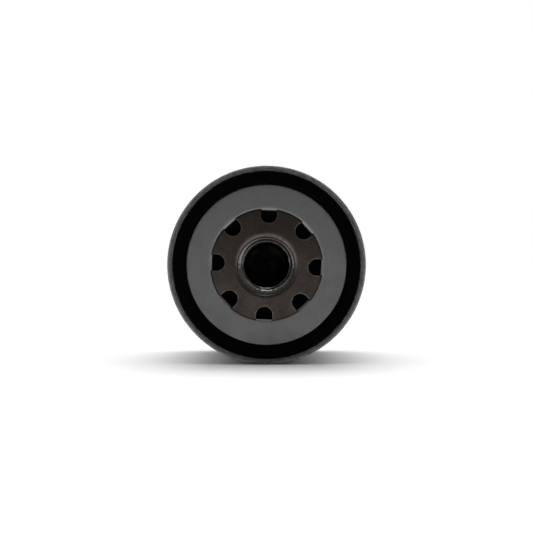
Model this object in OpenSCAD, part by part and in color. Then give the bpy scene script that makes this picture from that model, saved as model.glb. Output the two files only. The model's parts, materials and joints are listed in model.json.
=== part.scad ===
// Spin-on oil filter: a seamed steel can with a threaded base plate, and inside it a
// pleated cartridge, an anti-drain valve, a bypass valve and the springs that load them.
// The axis runs along Y. The threaded base faces -Y and the closed end +Y, and +Z is up.
// The origin is the centre of the threaded hole, where its full wall starts.

/* [Can] */
// Overall length, from the gasket's sealing face to the closed end
length = 93; // [78:1:125]
// Outside diameter of the rolled seam, the widest place
seam_d = 76; // [64:0.5:92]
// How far the seam stands out from the can's wall
seam_lip = 0.9; // [0.6:0.1:1.4]
// Sheet thickness of the can
can_t = 0.35; // [0.3:0.05:0.5]
// Radius of the can's shoulder, at mid sheet
shoulder_r = 6.5; // [5:0.5:8]
// Rise of the closed end's raised disc
end_rise = 2.2; // [1.8:0.1:3]
// Number of wrench flutes round the closed end
flute_count = 14; // [12:1:16]
// Depth of a flute below the can's wall
flute_depth = 0.85; // [0.5:0.05:1]
// Length of the fluted zone, measured from the closed end
flute_len = 24; // [18:1:30]

/* [Seam] */
// Height of the rolled seam
seam_h = 3.4; // [3.1:0.1:4]
// How far the seam stands in front of the lid's flat face
seam_proud = 0.6; // [0.2:0.1:1.2]
// Gap between the folded layers
seam_gap = 0.02; // [0.01:0.01:0.04]
// Thickness of the sealing compound in the fold
sealant_t = 0.2; // [0.1:0.05:0.3]

/* [Lid] */
// Sheet thickness of the lid
lid_t = 0.5; // [0.4:0.05:0.6]
// Diameter of the lid's opening
lid_open_d = 43.1; // [40:0.1:46]
// Bend radius at mid sheet, at the groove
lid_bend = 0.4; // [0.3:0.1:1.2]
// Bend radius of the tabs, at mid sheet
tab_bend = 0.65; // [0.5:0.05:0.9]
// Gap between a locking tab and each side of its inlet slot
tab_gap = 0.3; // [0.2:0.05:0.5]
// Gap between the lid and the base plate
lid_gap = 0.02; // [0.01:0.01:0.1]

/* [Gasket] */
// Width of the gasket's section
gasket_w = 4.4; // [3.6:0.1:5.4]
// Height of the gasket's section
gasket_h = 5.4; // [4.4:0.1:6.6]
// How far the gasket stands in front of the seam
gasket_proud = 1.7; // [1.2:0.1:2.2]
// Gap between the gasket and each wall of its groove
gasket_gap = 0.16; // [0.05:0.01:0.3]
// Radius on the gasket's corners
gasket_corner = 0.7; // [0.5:0.1:1]

/* [Base plate] */
// Thickness of the base plate
plate_t = 3; // [2.5:0.1:3.6]
// Major diameter of the thread
thread_d = 19.05; // [16:0.05:23]
// Pitch of the thread
thread_pitch = 1.5875; // [1.25:0.0125:2]
// Length of the threaded wall
thread_len = 8; // [6.5:0.5:10]
// Wall of the collar outside the thread
collar_wall = 2.4; // [2:0.1:3]
// Radius of the rounded mouth
mouth_r = 3; // [2.5:0.1:3.4]
// Number of inlet slots
slot_count = 8; // [6:1:8]
// Width of an inlet slot
slot_w = 6.3; // [5:0.1:7]
// Distance from the axis to a slot's inner end
slot_in_r = 16.05; // [15.5:0.05:17]
// How far a slot runs on under the lid
slot_under_lid = 1.2; // [0.8:0.1:1.6]
// Turn of the slots, clockwise from straight up, seen from the front
slot_turn = 2.7; // [0:0.1:45]

/* [Anti-drain valve] */
// Thickness of the diaphragm beside its hub
flap_t = 1.3; // [1:0.1:1.6]
// Radial thickness of the hub
hub_wall = 2.5; // [2:0.1:3]
// Gap where rubber meets metal
rubber_gap = 0.05; // [0.02:0.01:0.1]

/* [Cartridge] */
// Distance from the base plate's back to the upper end cap
cap_drop = 7.3; // [6.5:0.1:9]
// Sheet thickness of the end caps
cap_t = 0.35; // [0.3:0.05:0.5]
// Length of the end caps' outer rim
cap_rim = 2.6; // [2:0.1:4]
// Oil space between the pleats and the can
oil_gap = 5.2; // [4.5:0.1:6.5]
// Wall of the centre tube
tube_t = 0.35; // [0.3:0.05:0.5]
// Gap between the base collar and the upper end cap's flange
collar_gap = 0.45; // [0.3:0.05:0.8]
// Diameter of the holes in the centre tube
tube_hole_d = 3.2; // [2.5:0.1:4]
// Number of rings of holes
tube_rings = 10; // [6:1:14]
// Holes in a ring, an even number
tube_holes = 8; // [6:2:10]
// Number of pleats
pleats = 46; // [36:1:48]
// Thickness of the filter paper
paper_t = 0.5; // [0.4:0.05:0.6]
// Thickness of the potting that bonds the pleats to each cap
potting_t = 1.6; // [1.2:0.1:2.5]
// Sheet thickness of the clip that joins the paper's ends
clip_t = 0.3; // [0.2:0.05:0.4]
// Depth of the clip's legs
clip_depth = 5; // [3.5:0.5:6]
// Gap between glued or seated pieces
fit_gap = 0.02; // [0.01:0.01:0.05]

/* [Bypass valve] */
// Diameter of the bypass port
port_d = 11; // [9:0.5:12]
// Thickness of the valve seat
seat_t = 0.8; // [0.6:0.1:1.2]
// Diameter of the valve poppet
poppet_d = 16; // [14.5:0.5:17]
// Thickness of the poppet's disc
poppet_t = 0.8; // [0.6:0.1:1.2]
// Thickness of the rubber washer on the poppet
washer_t = 1.2; // [0.8:0.1:1.6]
// Diameter of the poppet's stem
stem_d = 2.8; // [2.4:0.1:3.2]
// Clearance round the stem in its guide
stem_gap = 0.1; // [0.05:0.05:0.2]
// Sheet thickness of the cage
cage_t = 0.45; // [0.35:0.05:0.6]
// Number of legs on the cage
cage_legs = 4; // [3:1:5]
// Wire diameter of the bypass spring
bypass_wire = 0.7; // [0.5:0.05:0.8]
// Mean diameter of the bypass spring
bypass_coil_d = 10; // [8:0.5:11]
// Length of the bypass spring as fitted
bypass_spring_len = 8.4; // [7:0.1:10]

/* [Element spring] */
// Wire diameter of the element spring
coil_wire = 1.8; // [1.4:0.1:2.2]
// Mean diameter of the element spring
coil_d = 33; // [30:0.5:36]
// Length of the element spring as fitted
coil_len = 11.5; // [9:0.5:15]
// Sheet thickness of the spring's seat
spring_seat_t = 0.6; // [0.5:0.1:0.8]

/* [Hidden] */
$fn = 96;
// How far a cutting shape runs past what it cuts
past = 1;

// ---- Radii of the folded seam, from the outside in, each at mid sheet
seam_r = seam_d / 2;
cover_wall_r = seam_r - lid_t / 2;
body_hook_r = cover_wall_r - lid_t / 2 - seam_gap - can_t / 2;
cover_hook_r = body_hook_r - can_t / 2 - seam_gap - lid_t / 2;
neck_r = cover_hook_r - lid_t / 2 - seam_gap - can_t / 2;
chuck_wall_r = neck_r - can_t / 2 - seam_gap - lid_t / 2;
seam_in_r = chuck_wall_r - lid_t / 2;
wall_r = seam_r - seam_lip;
wall_in_r = wall_r - can_t;

// ---- Threaded base
thread_depth = 0.5413 * thread_pitch;
crest_cut = 0.135;
bore_r = thread_d / 2 - thread_depth + crest_cut;
collar_r = thread_d / 2 + collar_wall;
mouth_sweep = 42;
countersink_w = 1.8;
countersink_slope = 54.6;
mouth_out_r = bore_r + countersink_w + mouth_r * sin(mouth_sweep);
round_depth = mouth_r * (1 - cos(mouth_sweep));
plate_front = -(round_depth + countersink_w * tan(countersink_slope));
plate_back = plate_front + plate_t;
plate_step = lid_t + lid_gap;

// ---- Lid and gasket groove
lid_front = plate_front;
lid_mid = lid_front + lid_t / 2;
lid_open_r = lid_open_d / 2;
seam_top = lid_front - seam_proud;
seam_bottom = seam_top + seam_h;
gasket_front = seam_top - gasket_proud;
gasket_back = gasket_front + gasket_h;
groove_floor = gasket_back + fit_gap;
gasket_out_r = seam_in_r - gasket_gap;
gasket_in_r = gasket_out_r - gasket_w;
groove_in_r = gasket_in_r - gasket_gap;
groove_bend = 0.6;
seam_corner = 0.5;
plate_gap = 0.3;
plate_r = groove_in_r - lid_t - plate_gap;
plate_edge = 0.8;
boss_gap = 0.2;
boss_r = lid_open_r - boss_gap;
slot_out_r = lid_open_r + slot_under_lid;
tab_w = slot_w - 2 * tab_gap;
tab_set_back = 0.1;
tab_flat = 0.1;
tab_root_r = lid_open_r + tab_set_back;
tab_face_r = tab_root_r - tab_bend - lid_t / 2;
tab_short = 0.35;
tab_tip = plate_back - tab_short;

// ---- Closed end
can_end = gasket_front + length;
can_end_mid = can_end - can_t / 2;
ring_mid = can_end_mid - end_rise;
step_bend = 1.2;
step_slope = 60;
coil_room = 1.9;
step_in_r = coil_d / 2 + coil_wire / 2 + coil_room;
step_run = (end_rise - 2 * step_bend * (1 - cos(step_slope))) / sin(step_slope);
step_out_r = step_in_r + 2 * step_bend * sin(step_slope) + step_run * cos(step_slope);
flute_start = can_end - flute_len;
flute_ramp = 2.5;

// ---- Cartridge, from the closed end forwards
coil_top = can_end - can_t;
spring_seat_back = coil_top - coil_len;
bypass_seat_back = spring_seat_back - spring_seat_t - fit_gap;
bypass_seat_front = bypass_seat_back - seat_t;
lower_cap_back = bypass_seat_front - fit_gap;
lower_cap_front = lower_cap_back - cap_t;
upper_cap_front = plate_back + cap_drop;
upper_cap_back = upper_cap_front + cap_t;
cap_flange_in_r = collar_r + collar_gap;
tube_gap = 0.1;
tube_in_r = cap_flange_in_r + cap_t + tube_gap;
tube_out_r = tube_in_r + tube_t;
media_out_r = wall_in_r - oil_gap;
media_gap = 0.7;
media_in_r = tube_out_r + media_gap;
clip_room = 0.3;
cap_in_r = media_out_r + clip_t + clip_room;
cap_r = cap_in_r + cap_t;
tube_front = upper_cap_back + fit_gap;
tube_back = lower_cap_front - fit_gap;
media_front = tube_front + potting_t + fit_gap;
media_back = tube_back - potting_t - fit_gap;

// ---- Anti-drain valve
hub_in_r = collar_r + rubber_gap;
hub_out_r = hub_in_r + hub_wall;
plate_fillet = 1.3;
hub_front = plate_back + plate_fillet + rubber_gap;
hub_back = upper_cap_front - rubber_gap;
lip_over = 0.6;
lip_r = (slot_out_r + plate_r) / 2 + lip_over;
lip_front = plate_back + rubber_gap;
lip_w = 1.5;
lip_rise = 0.55;
lip_land_w = 1.1;
lip_land_edge = 0.2;
lip_edge_h = 0.5;
lip_t = 1.3;
flap_foot = 1;

// ---- Bypass valve, from its seat forwards
seat_flange = 3.6;
seat_out_r = cap_flange_in_r + seat_flange;
spigot_out_r = cap_flange_in_r - fit_gap;
spigot_t = 0.9;
spigot_len = 1.5;
washer_back = bypass_seat_front - fit_gap;
poppet_back = washer_back - washer_t - fit_gap;
poppet_front = poppet_back - poppet_t;
bypass_spring_back = poppet_front - fit_gap;
bypass_spring_front = bypass_spring_back - bypass_spring_len;
cage_top_back = bypass_spring_front - fit_gap;
cage_top_front = cage_top_back - cage_t;
poppet_room = 0.5;
cage_in_r = poppet_d / 2 + poppet_room;
cage_out_r = cage_in_r + cage_t;
cage_flange_r = spigot_out_r - spigot_t - fit_gap;
stem_clip_t = 0.6;
stem_clip_back = cage_top_front - fit_gap;
stem_proud = 1.6;
stem_front = cage_top_front - stem_proud;
stem_clip_r = 2.6;
boss_w = 1.6;
poppet_boss_r = stem_d / 2 + boss_w;
boss_short = 0.1;
washer_play = 0.05;
washer_set_in = 0.2;
port_chamfer_w = 0.5;
port_chamfer_h = 0.3;
window_extra = 9;
window_edge = 0.8;

// ---- Springs
coil_pitch_share = 2.06;
coil_play = 0.3;
seat_rim = 1.5;
seat_collar_len = 3;

// Points along an arc about c, from angle a0 to a1.
function arc(c, r, a0, a1, n = 6) =
    [for (i = [0:n]) c + r * [cos(a0 + (a1 - a0) * i / n), sin(a0 + (a1 - a0) * i / n)]];

function unit(v) = v / norm(v);
function left_of(v) = [-v[1], v[0]];
function reversed(p) = [for (i = [len(p) - 1:-1:0]) p[i]];

// The line that runs beside path p, at distance d to its left.
function beside(p, d) =
    [for (i = [0:len(p) - 1])
        let (last = len(p) - 1,
             after = left_of(unit(p[min(i + 1, last)] - p[min(i + 1, last) - 1])),
             before = left_of(unit(p[max(i, 1)] - p[max(i, 1) - 1])),
             m = unit(after + before))
        p[i] + m * d / (m * after)];

// The outline of a sheet of thickness t that follows path p at mid sheet.
function sheet(p, t) = concat(beside(p, t / 2), reversed(beside(p, -t / 2)));

// A turned shape about the Y axis: the outline's x is the radius and its y runs along +Y.
module turned(points) {
    rotate([-90, 0, 0]) rotate_extrude() polygon(points);
}

// Copies round the Y axis, the first one turned clockwise from straight up by start.
module around(count, start = 0) {
    for (i = [0:count - 1]) rotate([0, start + i * 360 / count, 0]) children();
}

// A plain ring about the Y axis.
module ring(r_in, r_out, front, back) {
    turned([[r_in, front], [r_out, front], [r_out, back], [r_in, back]]);
}

// ---- Can
// Mid-sheet line of the can, from below the seam to the centre of the closed end.
wall_mid_r = wall_r - can_t / 2;
neck_len = 0.4;
neck_ramp = 2;
can_path = concat(
    [[neck_r, seam_bottom - past], [neck_r, seam_bottom + neck_len],
     [wall_mid_r, seam_bottom + neck_len + neck_ramp]],
    arc([wall_mid_r - shoulder_r, ring_mid - shoulder_r], shoulder_r, 0, 90, 10),
    arc([step_out_r, ring_mid + step_bend], step_bend, -90, -90 - step_slope, 4),
    arc([step_in_r, can_end_mid - step_bend], step_bend, 90 - step_slope, 90, 4),
    [[0, can_end_mid]]);

// The body hook that the lid's edge folds over.
hook_u_r = (body_hook_r - neck_r) / 2;
hook_u_z = seam_top + lid_t + sealant_t + 2 * seam_gap + can_t / 2 + hook_u_r;
hook_clear = 0.25;
hook_tip = seam_bottom - lid_t - hook_clear;
hook_path = concat(
    [[body_hook_r, hook_tip]],
    arc([(body_hook_r + neck_r) / 2, hook_u_z], hook_u_r, 0, -180, 8),
    [[neck_r, seam_bottom - past / 2]]);

// What a flute takes away: a flat with a ramp at its front, moved inwards by inset.
module flute_cutters(inset) {
    flat_r = wall_r - flute_depth - inset;
    rise = flute_depth + inset + 2 * past;
    around(flute_count)
        translate([-wall_r / 2, 0, 0]) rotate([90, 0, 90]) linear_extrude(wall_r)
            polygon([[flute_start + flute_ramp + inset, flat_r],
                     [flute_start + flute_ramp + inset - rise * flute_ramp / flute_depth, flat_r + rise],
                     [can_end + past, flat_r + rise],
                     [can_end + past, flat_r]]);
}

module can_solid(offset_in, front) {
    difference() {
        turned(concat([[0, front], [beside(can_path, offset_in)[0][0], front]],
                      beside(can_path, offset_in)));
        flute_cutters(offset_in > 0 ? can_t : 0);
    }
}

module can() color([0.1, 0.1, 0.105]) {
    difference() {
        union() {
            can_solid(-can_t / 2, seam_bottom - past);
            turned(sheet(hook_path, can_t));
        }
        can_solid(can_t / 2, seam_top - past);
    }
}

// ---- Lid
hook_fold_r = (cover_wall_r - cover_hook_r) / 2;
hook_fold_z = seam_bottom - lid_t / 2 - hook_fold_r;
cover_clear = 0.5;
cover_tip = hook_u_z - hook_u_r + can_t / 2 + cover_clear;
lid_path = concat(
    [[lid_open_r, lid_mid]],
    arc([groove_in_r - lid_t / 2 - lid_bend, lid_mid + lid_bend], lid_bend, -90, 0),
    arc([groove_in_r - lid_t / 2 + groove_bend, groove_floor + lid_t / 2 - groove_bend],
        groove_bend, 180, 90, 4),
    arc([chuck_wall_r - groove_bend, groove_floor + lid_t / 2 - groove_bend], groove_bend, 90, 0, 4),
    arc([chuck_wall_r + seam_corner, seam_top + lid_t / 2 + seam_corner], seam_corner, 180, 270, 4),
    arc([cover_wall_r - seam_corner, seam_top + lid_t / 2 + seam_corner], seam_corner, 270, 360, 4),
    arc([(cover_wall_r + cover_hook_r) / 2, hook_fold_z], hook_fold_r, 0, 180, 8),
    [[cover_hook_r, cover_tip]]);

// A tab bent down into one of the base plate's slots.
tab_path = concat(
    [[tab_face_r + lid_t / 2, tab_tip]],
    arc([tab_root_r, lid_mid + tab_bend], tab_bend, 180, 270),
    [[tab_root_r + tab_flat, lid_mid]]);

module lid_tab() {
    translate([-tab_w / 2, 0, 0]) rotate([90, 0, 90]) linear_extrude(tab_w)
        polygon([for (p = sheet(tab_path, lid_t)) [p[1], p[0]]]);
}

module seaming_lid() color([0.33, 0.33, 0.33]) {
    difference() {
        turned(sheet(lid_path, lid_t));
        around(slot_count, slot_turn)
            translate([-slot_w / 2, lid_front - past, 0])
                cube([slot_w, lid_t + 2 * past, tab_root_r + tab_flat]);
    }
    around(slot_count, slot_turn) lid_tab();
}

module seam_sealant() color([0.55, 0.5, 0.3])
    ring(neck_r, body_hook_r, seam_top + lid_t + seam_gap, seam_top + lid_t + seam_gap + sealant_t);

// ---- Gasket
module gasket() color([0.02, 0.02, 0.02])
    turned(concat(
        arc([gasket_in_r + gasket_corner, gasket_front + gasket_corner], gasket_corner, 180, 270),
        arc([gasket_out_r - gasket_corner, gasket_front + gasket_corner], gasket_corner, 270, 360),
        arc([gasket_out_r - gasket_corner, gasket_back - gasket_corner], gasket_corner, 0, 90),
        arc([gasket_in_r + gasket_corner, gasket_back - gasket_corner], gasket_corner, 90, 180)));

// ---- Base plate with its threaded collar, its raised boss and its inlet slots
collar_chamfer = 0.6;

module plate_blank() {
    turned(concat(
        [[bore_r, thread_len], [bore_r, 0]],
        reversed(arc([mouth_out_r, plate_front + mouth_r], mouth_r, -90, -90 - mouth_sweep, 8)),
        [[boss_r, plate_front], [boss_r, plate_front + plate_step],
         [plate_r - plate_edge, plate_front + plate_step],
         [plate_r, plate_front + plate_step + plate_edge],
         [plate_r, plate_back]],
        reversed(arc([collar_r + plate_fillet, plate_back + plate_fillet], plate_fillet, 180, 270, 5)),
        [[collar_r, thread_len - collar_chamfer], [collar_r - collar_chamfer, thread_len]]));
}

module inlet_slot() {
    mid_in = slot_in_r + slot_w / 2;
    depth = plate_t + 2 * past;
    translate([0, plate_front - past, mid_in]) rotate([-90, 0, 0]) cylinder(d = slot_w, h = depth);
    translate([-slot_w / 2, plate_front - past, mid_in]) cube([slot_w, depth, slot_out_r - mid_in]);
}

module tapping_plate() color([0.2, 0.18, 0.17])
    difference() {
        plate_blank();
        around(slot_count, slot_turn) inlet_slot();
    }

// ---- Anti-drain valve: a hub on the collar and a flap whose lip closes the slots
module anti_drain_valve() color([0.05, 0.05, 0.055])
    turned([[hub_in_r, hub_front], [hub_out_r, hub_front], [hub_out_r, hub_front + flap_foot],
            [lip_r - lip_w, lip_front + lip_rise], [lip_r - lip_land_w, lip_front],
            [lip_r - lip_land_edge, lip_front], [lip_r, lip_front + lip_edge_h],
            [lip_r - lip_w / 2, lip_front + lip_t], [hub_out_r, hub_front + flap_foot + flap_t],
            [hub_out_r, hub_back], [hub_in_r, hub_back]]);

// ---- End caps: pressed discs with a rim outside and a flange into the centre tube
cap_bend = 0.6;
flange_len = 2;

function cap_path(face, way) =
    let (mid = face + way * cap_t / 2, edge = cap_r - cap_t / 2, hole = cap_flange_in_r + cap_t / 2)
    concat(
        [[hole, face + way * flange_len]],
        arc([hole + cap_bend, mid + way * cap_bend], cap_bend, 180, 180 + way * 90, 4),
        arc([edge - cap_bend, mid + way * cap_bend], cap_bend, -way * 90, 0, 4),
        [[edge, face + way * cap_rim]]);

module upper_end_cap() color([0.62, 0.6, 0.56]) turned(sheet(cap_path(upper_cap_front, 1), cap_t));

module lower_end_cap() color([0.62, 0.6, 0.56]) turned(sheet(cap_path(lower_cap_back, -1), cap_t));

// ---- Centre tube with rings of holes
module centre_tube() color([0.6, 0.6, 0.6]) {
    span = (tube_back - tube_front) / tube_rings;
    difference() {
        ring(tube_in_r, tube_out_r, tube_front, tube_back);
        for (i = [0:tube_rings - 1])
            around(tube_holes / 2, (i % 2) * 180 / tube_holes)
                translate([0, tube_front + span * (i + 0.5), 0])
                    cylinder(d = tube_hole_d, h = 2 * (tube_out_r + past), center = true, $fn = 32);
    }
}

// ---- Pleated paper: each pleat is two parallel walls with a rounded ridge and a rounded valley
pleat_gap_in = (2 * PI * (media_in_r + paper_t) / pleats - 2 * paper_t) / 4;
ridge_half = paper_t + pleat_gap_in;
pleat_angle = 360 / pleats;
// Share of the half width by which a ridge's shoulder falls back
ridge_fall = 0.3;
// Share of the half width by which a valley's middle drops
valley_drop = 0.6;

// A point at radius r, h beside the direction a.
function polar(r, h, a) = [r * cos(a) - h * sin(a), r * sin(a) + h * cos(a)];

// One side of the paper: ridges of half width half at ridge_r, valleys between them at valley_r.
function paper_side(ridge_r, valley_r, half, valley_half) =
    [for (i = [0:pleats - 1]) let (a = i * pleat_angle)
        each [polar(valley_r, -half, a),
              polar(ridge_r - half, -half, a),
              polar(ridge_r - half * ridge_fall, -half * (1 - ridge_fall), a),
              polar(ridge_r, 0, a),
              polar(ridge_r - half * ridge_fall, half * (1 - ridge_fall), a),
              polar(ridge_r - half, half, a),
              polar(valley_r, half, a),
              polar(valley_r - valley_half * valley_drop, 0, a + pleat_angle / 2)]];

module pleated_media() color([0.75, 0.62, 0.38])
    translate([0, media_front, 0]) rotate([-90, 0, 0]) linear_extrude(media_back - media_front)
        difference() {
            polygon(paper_side(media_out_r, media_in_r + paper_t + pleat_gap_in, ridge_half, pleat_gap_in));
            polygon(paper_side(media_out_r - paper_t, media_in_r + pleat_gap_in,
                               ridge_half - paper_t, pleat_gap_in + paper_t));
        }

// ---- Clip over the pleat where the paper's two ends meet
module media_clip() color([0.7, 0.7, 0.7]) {
    clip_play = 0.03;
    end_play = 0.05;
    gap_half = ridge_half + clip_play;
    translate([0, media_front + fit_gap, 0]) rotate([-90, 0, 0])
        linear_extrude(media_back - media_front - 2 * fit_gap)
            difference() {
                translate([media_out_r - clip_depth, -gap_half - clip_t])
                    square([clip_depth + clip_t + end_play, 2 * (gap_half + clip_t)]);
                translate([media_out_r - clip_depth - past, -gap_half])
                    square([clip_depth + past + end_play, 2 * gap_half]);
            }
}

// ---- Potting that bonds the paper to the caps
module potting(front) ring(tube_out_r + fit_gap, cap_in_r - fit_gap - cap_bend, front, front + potting_t);

module upper_potting() color([0.16, 0.14, 0.13]) potting(tube_front);

module lower_potting() color([0.16, 0.14, 0.13]) potting(tube_back - potting_t);

// ---- Bypass valve
module bypass_seat() color([0.55, 0.55, 0.56])
    turned([[port_d / 2, bypass_seat_front], [spigot_out_r - spigot_t, bypass_seat_front],
            [spigot_out_r - spigot_t, bypass_seat_front - spigot_len],
            [spigot_out_r, bypass_seat_front - spigot_len],
            [spigot_out_r, bypass_seat_front], [seat_out_r, bypass_seat_front],
            [seat_out_r, bypass_seat_back], [port_d / 2 + port_chamfer_w, bypass_seat_back],
            [port_d / 2, bypass_seat_back - port_chamfer_h]]);

module bypass_cage() color([0.6, 0.58, 0.52]) {
    flange_back = bypass_seat_front - fit_gap;
    flange_front = flange_back - cage_t;
    window_half = 90 / cage_legs + window_extra;
    window_reach = 1.6 * (cage_out_r + past);
    window_corner = window_reach * [sin(window_half), -cos(window_half)];
    difference() {
        turned([[stem_d / 2 + stem_gap, cage_top_front], [cage_out_r, cage_top_front],
                [cage_out_r, flange_front], [cage_flange_r, flange_front],
                [cage_flange_r, flange_back], [cage_in_r, flange_back],
                [cage_in_r, cage_top_back], [stem_d / 2 + stem_gap, cage_top_back]]);
        around(cage_legs)
            translate([0, cage_top_back + window_edge, 0]) rotate([-90, 0, 0])
                linear_extrude(flange_front - cage_top_back - 2 * window_edge)
                    polygon([[0, 0], window_corner, [-window_corner[0], window_corner[1]]]);
    }
}

module bypass_poppet() color([0.5, 0.5, 0.5]) {
    boss_back = washer_back - boss_short;
    turned([[0, stem_front], [stem_d / 2, stem_front], [stem_d / 2, poppet_front],
            [poppet_d / 2, poppet_front], [poppet_d / 2, poppet_back],
            [poppet_boss_r, poppet_back], [poppet_boss_r, boss_back], [0, boss_back]]);
}

module bypass_washer() color([0.04, 0.04, 0.04])
    ring(poppet_boss_r + washer_play, poppet_d / 2 - washer_set_in, poppet_back + fit_gap, washer_back);

// A push-on clip at the stem's end, which keeps the poppet and the cage together.
module stem_clip() color([0.45, 0.45, 0.47])
    ring(stem_d / 2 + fit_gap, stem_clip_r, stem_clip_back - stem_clip_t, stem_clip_back);

// ---- Coil springs with closed ends: the first and last half turn lie flat
function coil_height(u, turns, rise) =
    u < 0.5 ? 0 : u > turns - 0.5 ? rise : rise * (u - 0.5) / (turns - 1);

module coil_spring(mean_r, wire, front, back, per_turn, sides) {
    rise = back - front - wire;
    turns = 1 + rise / (coil_pitch_share * wire);
    steps = ceil(turns * per_turn);
    rings = [for (i = [0:steps])
        let (u = turns * i / steps, a = 360 * u, h = front + wire / 2 + coil_height(u, turns, rise))
        [for (k = [0:sides - 1])
            let (b = 360 * k / sides, r = mean_r + wire / 2 * cos(b))
            [r * cos(a), h + wire / 2 * sin(b), r * sin(a)]]];
    last = steps * sides;
    polyhedron(
        points = [for (g = rings) each g],
        faces = concat(
            [[for (k = [sides - 1:-1:0]) k]],
            [for (i = [0:steps - 1], k = [0:sides - 1]) let (n = (k + 1) % sides)
                each [[i * sides + k, i * sides + n, (i + 1) * sides + n],
                      [i * sides + k, (i + 1) * sides + n, (i + 1) * sides + k]]],
            [[for (k = [0:sides - 1]) last + k]]),
        convexity = 8);
}

module bypass_spring() color([0.7, 0.7, 0.72])
    coil_spring(bypass_coil_d / 2, bypass_wire, bypass_spring_front, bypass_spring_back, 20, 8);

module element_spring() color([0.3, 0.3, 0.32])
    coil_spring(coil_d / 2, coil_wire, spring_seat_back + fit_gap, coil_top - fit_gap, 28, 10);

// ---- Spring seat: a flat ring with a collar that centres the spring
spring_seat_collar_r = coil_d / 2 - coil_wire / 2 - coil_play;
spring_seat_r = coil_d / 2 + coil_wire + seat_rim;

module spring_seat() color([0.58, 0.57, 0.52])
    turned([[spring_seat_collar_r - spring_seat_t, spring_seat_back - spring_seat_t],
            [spring_seat_r, spring_seat_back - spring_seat_t], [spring_seat_r, spring_seat_back],
            [spring_seat_collar_r, spring_seat_back],
            [spring_seat_collar_r, spring_seat_back + seat_collar_len],
            [spring_seat_collar_r - spring_seat_t, spring_seat_back + seat_collar_len]]);

can();
seaming_lid();
seam_sealant();
gasket();
tapping_plate();
anti_drain_valve();
upper_end_cap();
lower_end_cap();
centre_tube();
pleated_media();
media_clip();
upper_potting();
lower_potting();
bypass_seat();
bypass_cage();
bypass_spring();
bypass_poppet();
bypass_washer();
stem_clip();
spring_seat();
element_spring();
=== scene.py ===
"""Looks of a spin-on oil filter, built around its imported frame.

The filter lies on its side: its axis runs along Y, the threaded base faces -Y and the closed end +Y.
Sizes are in millimetres and become metres when a mesh is made. A place on a turned piece is a pair
(radius, y), and an angle runs clockwise from straight up, seen from the base.
"""

import json
import logging
import math
from dataclasses import dataclass, field
from enum import Enum

import bmesh
import bpy
import numpy as np
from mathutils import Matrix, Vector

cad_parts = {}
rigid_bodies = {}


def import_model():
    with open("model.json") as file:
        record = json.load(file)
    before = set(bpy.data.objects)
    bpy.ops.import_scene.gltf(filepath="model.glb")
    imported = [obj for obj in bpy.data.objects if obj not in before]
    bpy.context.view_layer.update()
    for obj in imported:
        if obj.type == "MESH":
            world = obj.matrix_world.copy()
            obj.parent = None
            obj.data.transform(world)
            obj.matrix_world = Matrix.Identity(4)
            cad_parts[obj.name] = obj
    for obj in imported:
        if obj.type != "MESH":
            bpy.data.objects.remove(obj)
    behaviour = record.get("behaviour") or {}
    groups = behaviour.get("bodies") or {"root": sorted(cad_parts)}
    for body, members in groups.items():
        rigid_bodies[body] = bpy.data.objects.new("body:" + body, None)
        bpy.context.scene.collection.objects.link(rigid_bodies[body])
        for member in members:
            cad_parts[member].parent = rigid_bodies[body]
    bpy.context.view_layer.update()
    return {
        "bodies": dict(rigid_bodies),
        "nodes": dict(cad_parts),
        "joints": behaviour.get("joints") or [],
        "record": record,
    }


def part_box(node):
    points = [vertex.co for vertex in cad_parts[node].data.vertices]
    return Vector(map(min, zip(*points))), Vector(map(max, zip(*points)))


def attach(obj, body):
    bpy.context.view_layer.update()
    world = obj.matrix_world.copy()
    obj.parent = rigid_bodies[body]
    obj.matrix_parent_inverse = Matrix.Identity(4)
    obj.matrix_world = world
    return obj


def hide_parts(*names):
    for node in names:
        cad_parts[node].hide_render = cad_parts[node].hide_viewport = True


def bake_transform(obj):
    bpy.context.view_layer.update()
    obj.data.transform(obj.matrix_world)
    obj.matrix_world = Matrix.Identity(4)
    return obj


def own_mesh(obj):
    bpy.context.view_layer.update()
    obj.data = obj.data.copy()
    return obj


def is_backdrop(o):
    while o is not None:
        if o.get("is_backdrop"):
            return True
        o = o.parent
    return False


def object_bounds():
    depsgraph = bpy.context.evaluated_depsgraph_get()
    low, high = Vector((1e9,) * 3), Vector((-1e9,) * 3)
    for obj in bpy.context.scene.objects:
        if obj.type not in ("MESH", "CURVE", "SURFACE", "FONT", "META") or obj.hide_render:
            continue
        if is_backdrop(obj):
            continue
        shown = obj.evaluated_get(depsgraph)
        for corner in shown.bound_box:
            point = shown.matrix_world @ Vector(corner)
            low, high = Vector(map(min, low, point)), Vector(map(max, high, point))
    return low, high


MM = 0.001
SHARP_ANGLE = math.radians(38)
CUT_EDGE = 0.12
WELD = 1e-8

log = logging.getLogger("filter")


# ---------------------------------------------------------------- outlines and surfaces


def arc(centre: tuple[float, float], radius: float, start: float, end: float, steps: int = 6) -> np.ndarray:
    """Points on a circle about centre, from the angle start to the angle end.

    Args:
        centre: The circle's centre as (radius, y).
        radius: The circle's radius.
        start: First angle in degrees, from the +radius direction towards +y.
        end: Last angle in degrees.
        steps: Number of chords.

    Returns:
        An array of steps + 1 points.
    """
    angle = np.radians(np.linspace(start, end, steps + 1))
    return np.stack([centre[0] + radius * np.cos(angle), centre[1] + radius * np.sin(angle)], axis=1)


def joined(*parts: np.ndarray | list) -> np.ndarray:
    """The parts' points, one after the other, as one line."""
    return np.vstack([np.atleast_2d(np.asarray(part, float)) for part in parts])


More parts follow.
